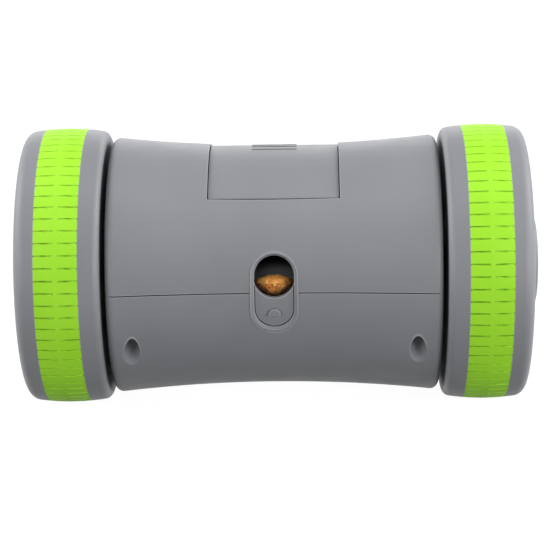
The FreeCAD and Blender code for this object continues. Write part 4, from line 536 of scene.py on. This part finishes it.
def spun_ring():
    """The tread up to the floor of its grooves, with its middle at x = 0."""
    side = HALF_STRIP + ROW
    across = (-side, -HALF_STRIP - ROW / 2, -HALF_STRIP, HALF_STRIP, HALF_STRIP + ROW / 2, side)
    ring = bmesh.new()
    corners = [ring.verts.new((x, 0, crown_radius(x) - GROOVE_DEPTH)) for x in across]
    corners += [ring.verts.new((x, 0, SEAT_RADIUS)) for x in (side, -side)]
    pairs = zip(corners, corners[1:] + corners[:1])
    section = corners + [ring.edges.new(pair) for pair in pairs]
    turn_verts(ring, corners, (LAND_PITCH - GROOVE_ANGLE) / 2, "X")
    for _ in range(LANDS):
        for angle, steps in ((LAND_PITCH - GROOVE_ANGLE, LAND_STEPS), (GROOVE_ANGLE, 1)):
            swept = bmesh.ops.spin(ring, geom=section, cent=(0, 0, 0), axis=(1, 0, 0),
                                   angle=-angle, steps=steps)
            section = swept["geom_last"]
    bmesh.ops.remove_doubles(ring, verts=ring.verts, dist=WELD)
    bmesh.ops.recalc_face_normals(ring, faces=ring.faces)
    return ring


# %% Raise the lands and bevel them
RIM_BEVEL = 0.10 * MM
RIM_ANGLE = math.radians(40)
SHARP_ANGLE = math.radians(50)
# how squarely a land looks away from the axle, from 0 to 1
FACES_OUT = 0.5
# how far the middle of a groove's floor may be from where it is looked for, in pitches
GROOVE_MATCH = 0.02
# how far below the crown a rim may lie
TOP_MATCH = 0.01 * MM


def is_land(face):
    """True for a face on top of the ring that isn't the floor of a groove."""
    middle = face.calc_center_median()
    if face.normal.dot(from_axle(middle).normalized()) < FACES_OUT:
        return False
    pitches = math.atan2(middle.y, middle.z) / LAND_PITCH
    in_groove = abs(abs(pitches - round(pitches)) - 0.5) < GROOVE_MATCH
    return abs(middle.x) < HALF_STRIP or not in_groove


def is_rim(edge):
    """True for an outer edge with both ends on the tread's face."""
    if not edge.is_manifold or edge.calc_face_angle_signed() <= RIM_ANGLE:
        return False
    return all(from_axle(end.co).length - crown_radius(end.co.x) > -TOP_MATCH for end in edge.verts)


def tread(name, side, body, stands_for):
    """A grooved tread on one wheel. side is 1 for the right wheel and -1 for the left."""
    ring = spun_ring()
    tops = [face for face in ring.faces if is_land(face)]
    for item in bmesh.ops.extrude_face_region(ring, geom=tops)["geom"]:
        if isinstance(item, bmesh.types.BMVert):
            item.co += from_axle(item.co).normalized() * GROOVE_DEPTH
    bmesh.ops.bevel(ring, geom=[edge for edge in ring.edges if is_rim(edge)], offset=RIM_BEVEL,
                    segments=2, profile=0.5, affect="EDGES", material=-1)
    bmesh.ops.translate(ring, verts=ring.verts, vec=(side * TREAD_MIDDLE, 0, 0))
    bmesh.ops.recalc_face_normals(ring, faces=ring.faces)
    for face in ring.faces:
        face.smooth = True
    for edge in ring.edges:
        edge.smooth = edge.calc_face_angle(0) < SHARP_ANGLE
    piece = add_piece(name, ring, body, finishes["lime_rubber"])
    piece.modifiers.new("even shading", "WEIGHTED_NORMAL").keep_sharp = True
    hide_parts(stands_for)


tread("left_rubber_tread", -1, "left_wheel", "left_tread")
tread("right_rubber_tread", 1, "right_wheel", "right_tread")

# %% [markdown]
# ## Kibble
# A few pieces of kibble lie on the floor of the hopper, and one stands on edge in the
# front hole, which is what the toy is for. Dry food is pressed through a die, cut and
# baked, so a piece is a thick leaf with blunt tips, a crust full of small pits, and a
# colour that runs from gold to brown.
# A sphere is drawn out to that leaf by moving its points, and noise roughens it. The
# noise is read at a different place for each piece, so no two are alike, and it gives
# the same shape each time the script is run.

# %% Kibble crust
crust, tree, shader, place = start_finish(
    "baked kibble crust", "#E0A055", 0.7, IOR=1.45, Subsurface_Weight=0.15,
    Subsurface_Radius=(1.0, 0.45, 0.2), Subsurface_Scale=0.6 * MM)
bake = tinted(tree, place, 3.5 * MM, "#D07A28", "#FABA5E")
flecks = add(tree, "ShaderNodeTexNoise", {"Scale": 1 / (0.8 * MM), "Detail": 2.0},
             {"Vector": place}).outputs[0]
pale = add(tree, "ShaderNodeMapRange", {"From Min": 0.56, "From Max": 0.74}, {"Value": flecks})
bake = add(tree, "ShaderNodeMix", {"data_type": "RGBA", 7: linear("#FAD08C")},
           {0: pale.outputs[0], 6: bake}).outputs[2]
pits = add(tree, "ShaderNodeTexVoronoi", {"Scale": 1 / (1.8 * MM)}, {"Vector": place})
deep = add(tree, "ShaderNodeMapRange",
           {"From Min": 0.12, "From Max": 0.30, "To Min": 1.0, "To Max": 0.0},
           {"Value": pits.outputs["Distance"]}).outputs[0]
bake = add(tree, "ShaderNodeMix", {"data_type": "RGBA", 7: linear("#702C0C")},
           {0: deep, 6: bake}).outputs[2]
# painted shade: the crust is darkened within 6 mm of other surfaces, near black where it meets the
# gate and the other kibble
tree.links.new(painted_gap_shade(tree, bake, 6 * MM, 0.06), shader.inputs["Base Color"])
relief = add(tree, "ShaderNodeMath", {"operation": "SUBTRACT"}, {0: flecks, 1: deep})
bump = add(tree, "ShaderNodeBump", {"Strength": 0.8, "Distance": 0.25 * MM},
           {"Height": relief.outputs[0]})
tree.links.new(bump.outputs[0], shader.inputs["Normal"])
print("crust: pits 1.8 mm apart, flecks 0.8 mm")

# %% Shape and place the kibble
HALF_LONG = 7.6 * MM
HALF_THICK = 3.0 * MM
LEAF_TOP = 2.9 * MM
LEAF_BOTTOM = 5.5 * MM
TIP_HEIGHT = 0.65
TIP_THICKNESS = 0.4
CRUST_RELIEF = 0.35 * MM
LUMP_SIZE = 2.6 * MM
LUMP_LAYERS = 4
TRAY_FLOOR = -9.0 * MM
# name, middle of the leaf's tips in mm, turns about x, then y, then z in degrees
KIBBLE = (
    ("kibble_front", (0.0, -41.6, 2.6), (-6, 0, 0)),
    ("kibble_under_left", (-4.5, -36.5, -5.9), (90, 0, 12)),
    ("kibble_under_right", (10.5, -33.5, -5.9), (90, 0, -38)),
    ("kibble_behind", (1.0, -34.0, -0.6), (62, 0, -6)),
    ("kibble_left", (-19.0, -30.0, -5.9), (-90, 0, 70)),
    ("kibble_middle", (2.0, -19.0, -5.9), (90, 0, 100)),
    ("kibble_right", (23.0, -20.0, -5.9), (-90, 0, 20)),
)

for name, middle, turns in KIBBLE:
    leaf = bmesh.new()
    bmesh.ops.create_icosphere(leaf, subdivisions=5, radius=1.0)
    for vert in leaf.verts:
        x, y, z = vert.co
        pinch = TIP_HEIGHT + (1 - TIP_HEIGHT) * math.sqrt(max(0.0, 1 - x * x))
        thick = HALF_THICK * (TIP_THICKNESS + (1 - TIP_THICKNESS) * pinch)
        tall = LEAF_TOP if z > 0 else LEAF_BOTTOM
        point = Vector((x * HALF_LONG, y * thick, z * tall * pinch))
        rough = noise.fractal(point / LUMP_SIZE + Vector(middle), 1.0, 2.0, LUMP_LAYERS)
        vert.co = point + vert.co * rough * CRUST_RELIEF
    for axis, angle in zip("XYZ", turns):
        turn_verts(leaf, leaf.verts, math.radians(angle), axis)
    bmesh.ops.translate(leaf, verts=leaf.verts, vec=Vector(middle) * MM)
    for face in leaf.faces:
        face.smooth = True
    low = min(vert.co.z for vert in leaf.verts)
    print(name, "stands", round((low - TRAY_FLOOR) / MM, 2), "mm over the tray")
    add_piece(name, leaf, "root", crust)

# %% [markdown]
# ## Battery cells and springs
# Three small cells drive the two motors. A cell is a steel can in a shrunk sleeve: bare
# metal shows at the flat minus end and round the raised plus button. Each minus end is
# pressed by a cone-shaped coil spring. Both are bodies of revolution, so the cell is a
# spun outline, and the spring a circle of wire that climbs as it spins.

# %% Cells
CELL_RADIUS = 5.25 * MM
CELL_HALF = 22.25 * MM
CELL_PITCH = 11.0 * MM
CELL_HEIGHT = -37.6 * MM
CELL_STEPS = 40
CELL_SHARP_ANGLE = math.radians(35)
NUB_RADIUS = 1.9 * MM
NUB_LENGTH = 0.8 * MM
SLEEVE_LIP = 0.6 * MM
SLEEVE_OVERLAP = 0.65 * MM
# which row the cell lies in, and which way its plus end points
CELL_ROWS = ((-1, 1), (0, -1), (1, 1))

minus, plus = -CELL_HALF, CELL_HALF - NUB_LENGTH
# distance along the cell and radius, from the middle of the minus end to that of the plus end
CELL_OUTLINE = (
    # flat minus end with a shallow ring pressed into it
    (minus, 0), (minus, CELL_RADIUS - 1.6 * MM),
    (minus + 0.15 * MM, CELL_RADIUS - 1.4 * MM), (minus + 0.15 * MM, CELL_RADIUS - 0.9 * MM),
    # sleeve from rim to rim, shrunk round both shoulders
    (minus, CELL_RADIUS - 0.6 * MM), (minus + 0.2 * MM, CELL_RADIUS - 0.1 * MM),
    (minus + SLEEVE_LIP, CELL_RADIUS), (plus - SLEEVE_LIP, CELL_RADIUS),
    (plus - 0.15 * MM, CELL_RADIUS - 0.15 * MM), (plus, CELL_RADIUS - 0.6 * MM),
    # plus end, sunk round the raised button
    (plus - 0.25 * MM, CELL_RADIUS - 0.9 * MM), (plus - 0.25 * MM, NUB_RADIUS + 0.5 * MM),
    (plus, NUB_RADIUS + 0.2 * MM), (plus + 0.1 * MM, NUB_RADIUS),
    (CELL_HALF - 0.15 * MM, NUB_RADIUS), (CELL_HALF, NUB_RADIUS - 0.2 * MM), (CELL_HALF, 0),
)


def into_row(bm, row, way):
    """Lays a shape made along the x axis into its row of the battery box, turned if way is -1."""
    if way < 0:
        turn_verts(bm, bm.verts, math.pi, "Z")
    bmesh.ops.translate(bm, verts=bm.verts, vec=(0, row * CELL_PITCH, CELL_HEIGHT))


for number, (row, way) in enumerate(CELL_ROWS, start=1):
    cell = bmesh.new()
    points = [cell.verts.new((x, 0, radius)) for x, radius in CELL_OUTLINE]
    outline = points + [cell.edges.new(pair) for pair in zip(points, points[1:])]
    bmesh.ops.spin(cell, geom=outline, cent=(0, 0, 0), axis=(1, 0, 0), angle=math.tau,
                   steps=CELL_STEPS, use_merge=True)
    bmesh.ops.remove_doubles(cell, verts=cell.verts, dist=WELD)
    bmesh.ops.recalc_face_normals(cell, faces=cell.faces)
    for face in cell.faces:
        radius = from_axle(face.calc_center_median()).length
        face.material_index = 0 if radius > CELL_RADIUS - SLEEVE_OVERLAP else 1
        face.smooth = True
    for edge in cell.edges:
        edge.smooth = edge.calc_face_angle(0) < CELL_SHARP_ANGLE
    into_row(cell, row, way)
    piece = add_piece(f"battery_cell_{number}", cell, "root", finishes["cell_can"])
    piece.data.materials.append(finishes["contact_plate"])
    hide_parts("battery_cells")

# %% Springs
SPRING_LENGTH = 1.85 * MM
SPRING_TIP = 3.25 * MM
SPRING_BASE = 4.25 * MM
SPRING_TURNS = 2.5
STEPS_A_TURN = 28
WIRE_RADIUS = 0.25 * MM
WIRE_SIDES = 8

climb = SPRING_LENGTH - 2 * WIRE_RADIUS
steps = round(SPRING_TURNS * STEPS_A_TURN)
for number, (row, way) in enumerate(CELL_ROWS, start=1):
    coil = bmesh.new()
    wire = bmesh.ops.create_circle(coil, cap_ends=True, radius=WIRE_RADIUS, segments=WIRE_SIDES)
    turn_verts(coil, wire["verts"], math.pi / 2, "X")
    start = (WIRE_RADIUS, 0, SPRING_BASE - WIRE_RADIUS)
    bmesh.ops.translate(coil, verts=wire["verts"], vec=start)
    bmesh.ops.spin(coil, geom=coil.faces[:] + coil.edges[:] + coil.verts[:], cent=(0, 0, 0),
                   axis=(1, 0, 0), dvec=(climb / steps, 0, 0), angle=SPRING_TURNS * math.tau,
                   steps=steps)
    bmesh.ops.recalc_face_normals(coil, faces=coil.faces)
    for vert in coil.verts:
        share = min(max((vert.co.x - WIRE_RADIUS) / climb, 0.0), 1.0)
        vert.co -= from_axle(vert.co).normalized() * share * (SPRING_BASE - SPRING_TIP)
    for face in coil.faces:
        face.smooth = True
    bmesh.ops.translate(coil, verts=coil.verts, vec=(-CELL_HALF - SPRING_LENGTH, 0, 0))
    into_row(coil, row, way)
    piece = add_piece(f"battery_spring_{number}", coil, "root", finishes["contact_plate"])
    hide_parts("battery_springs")
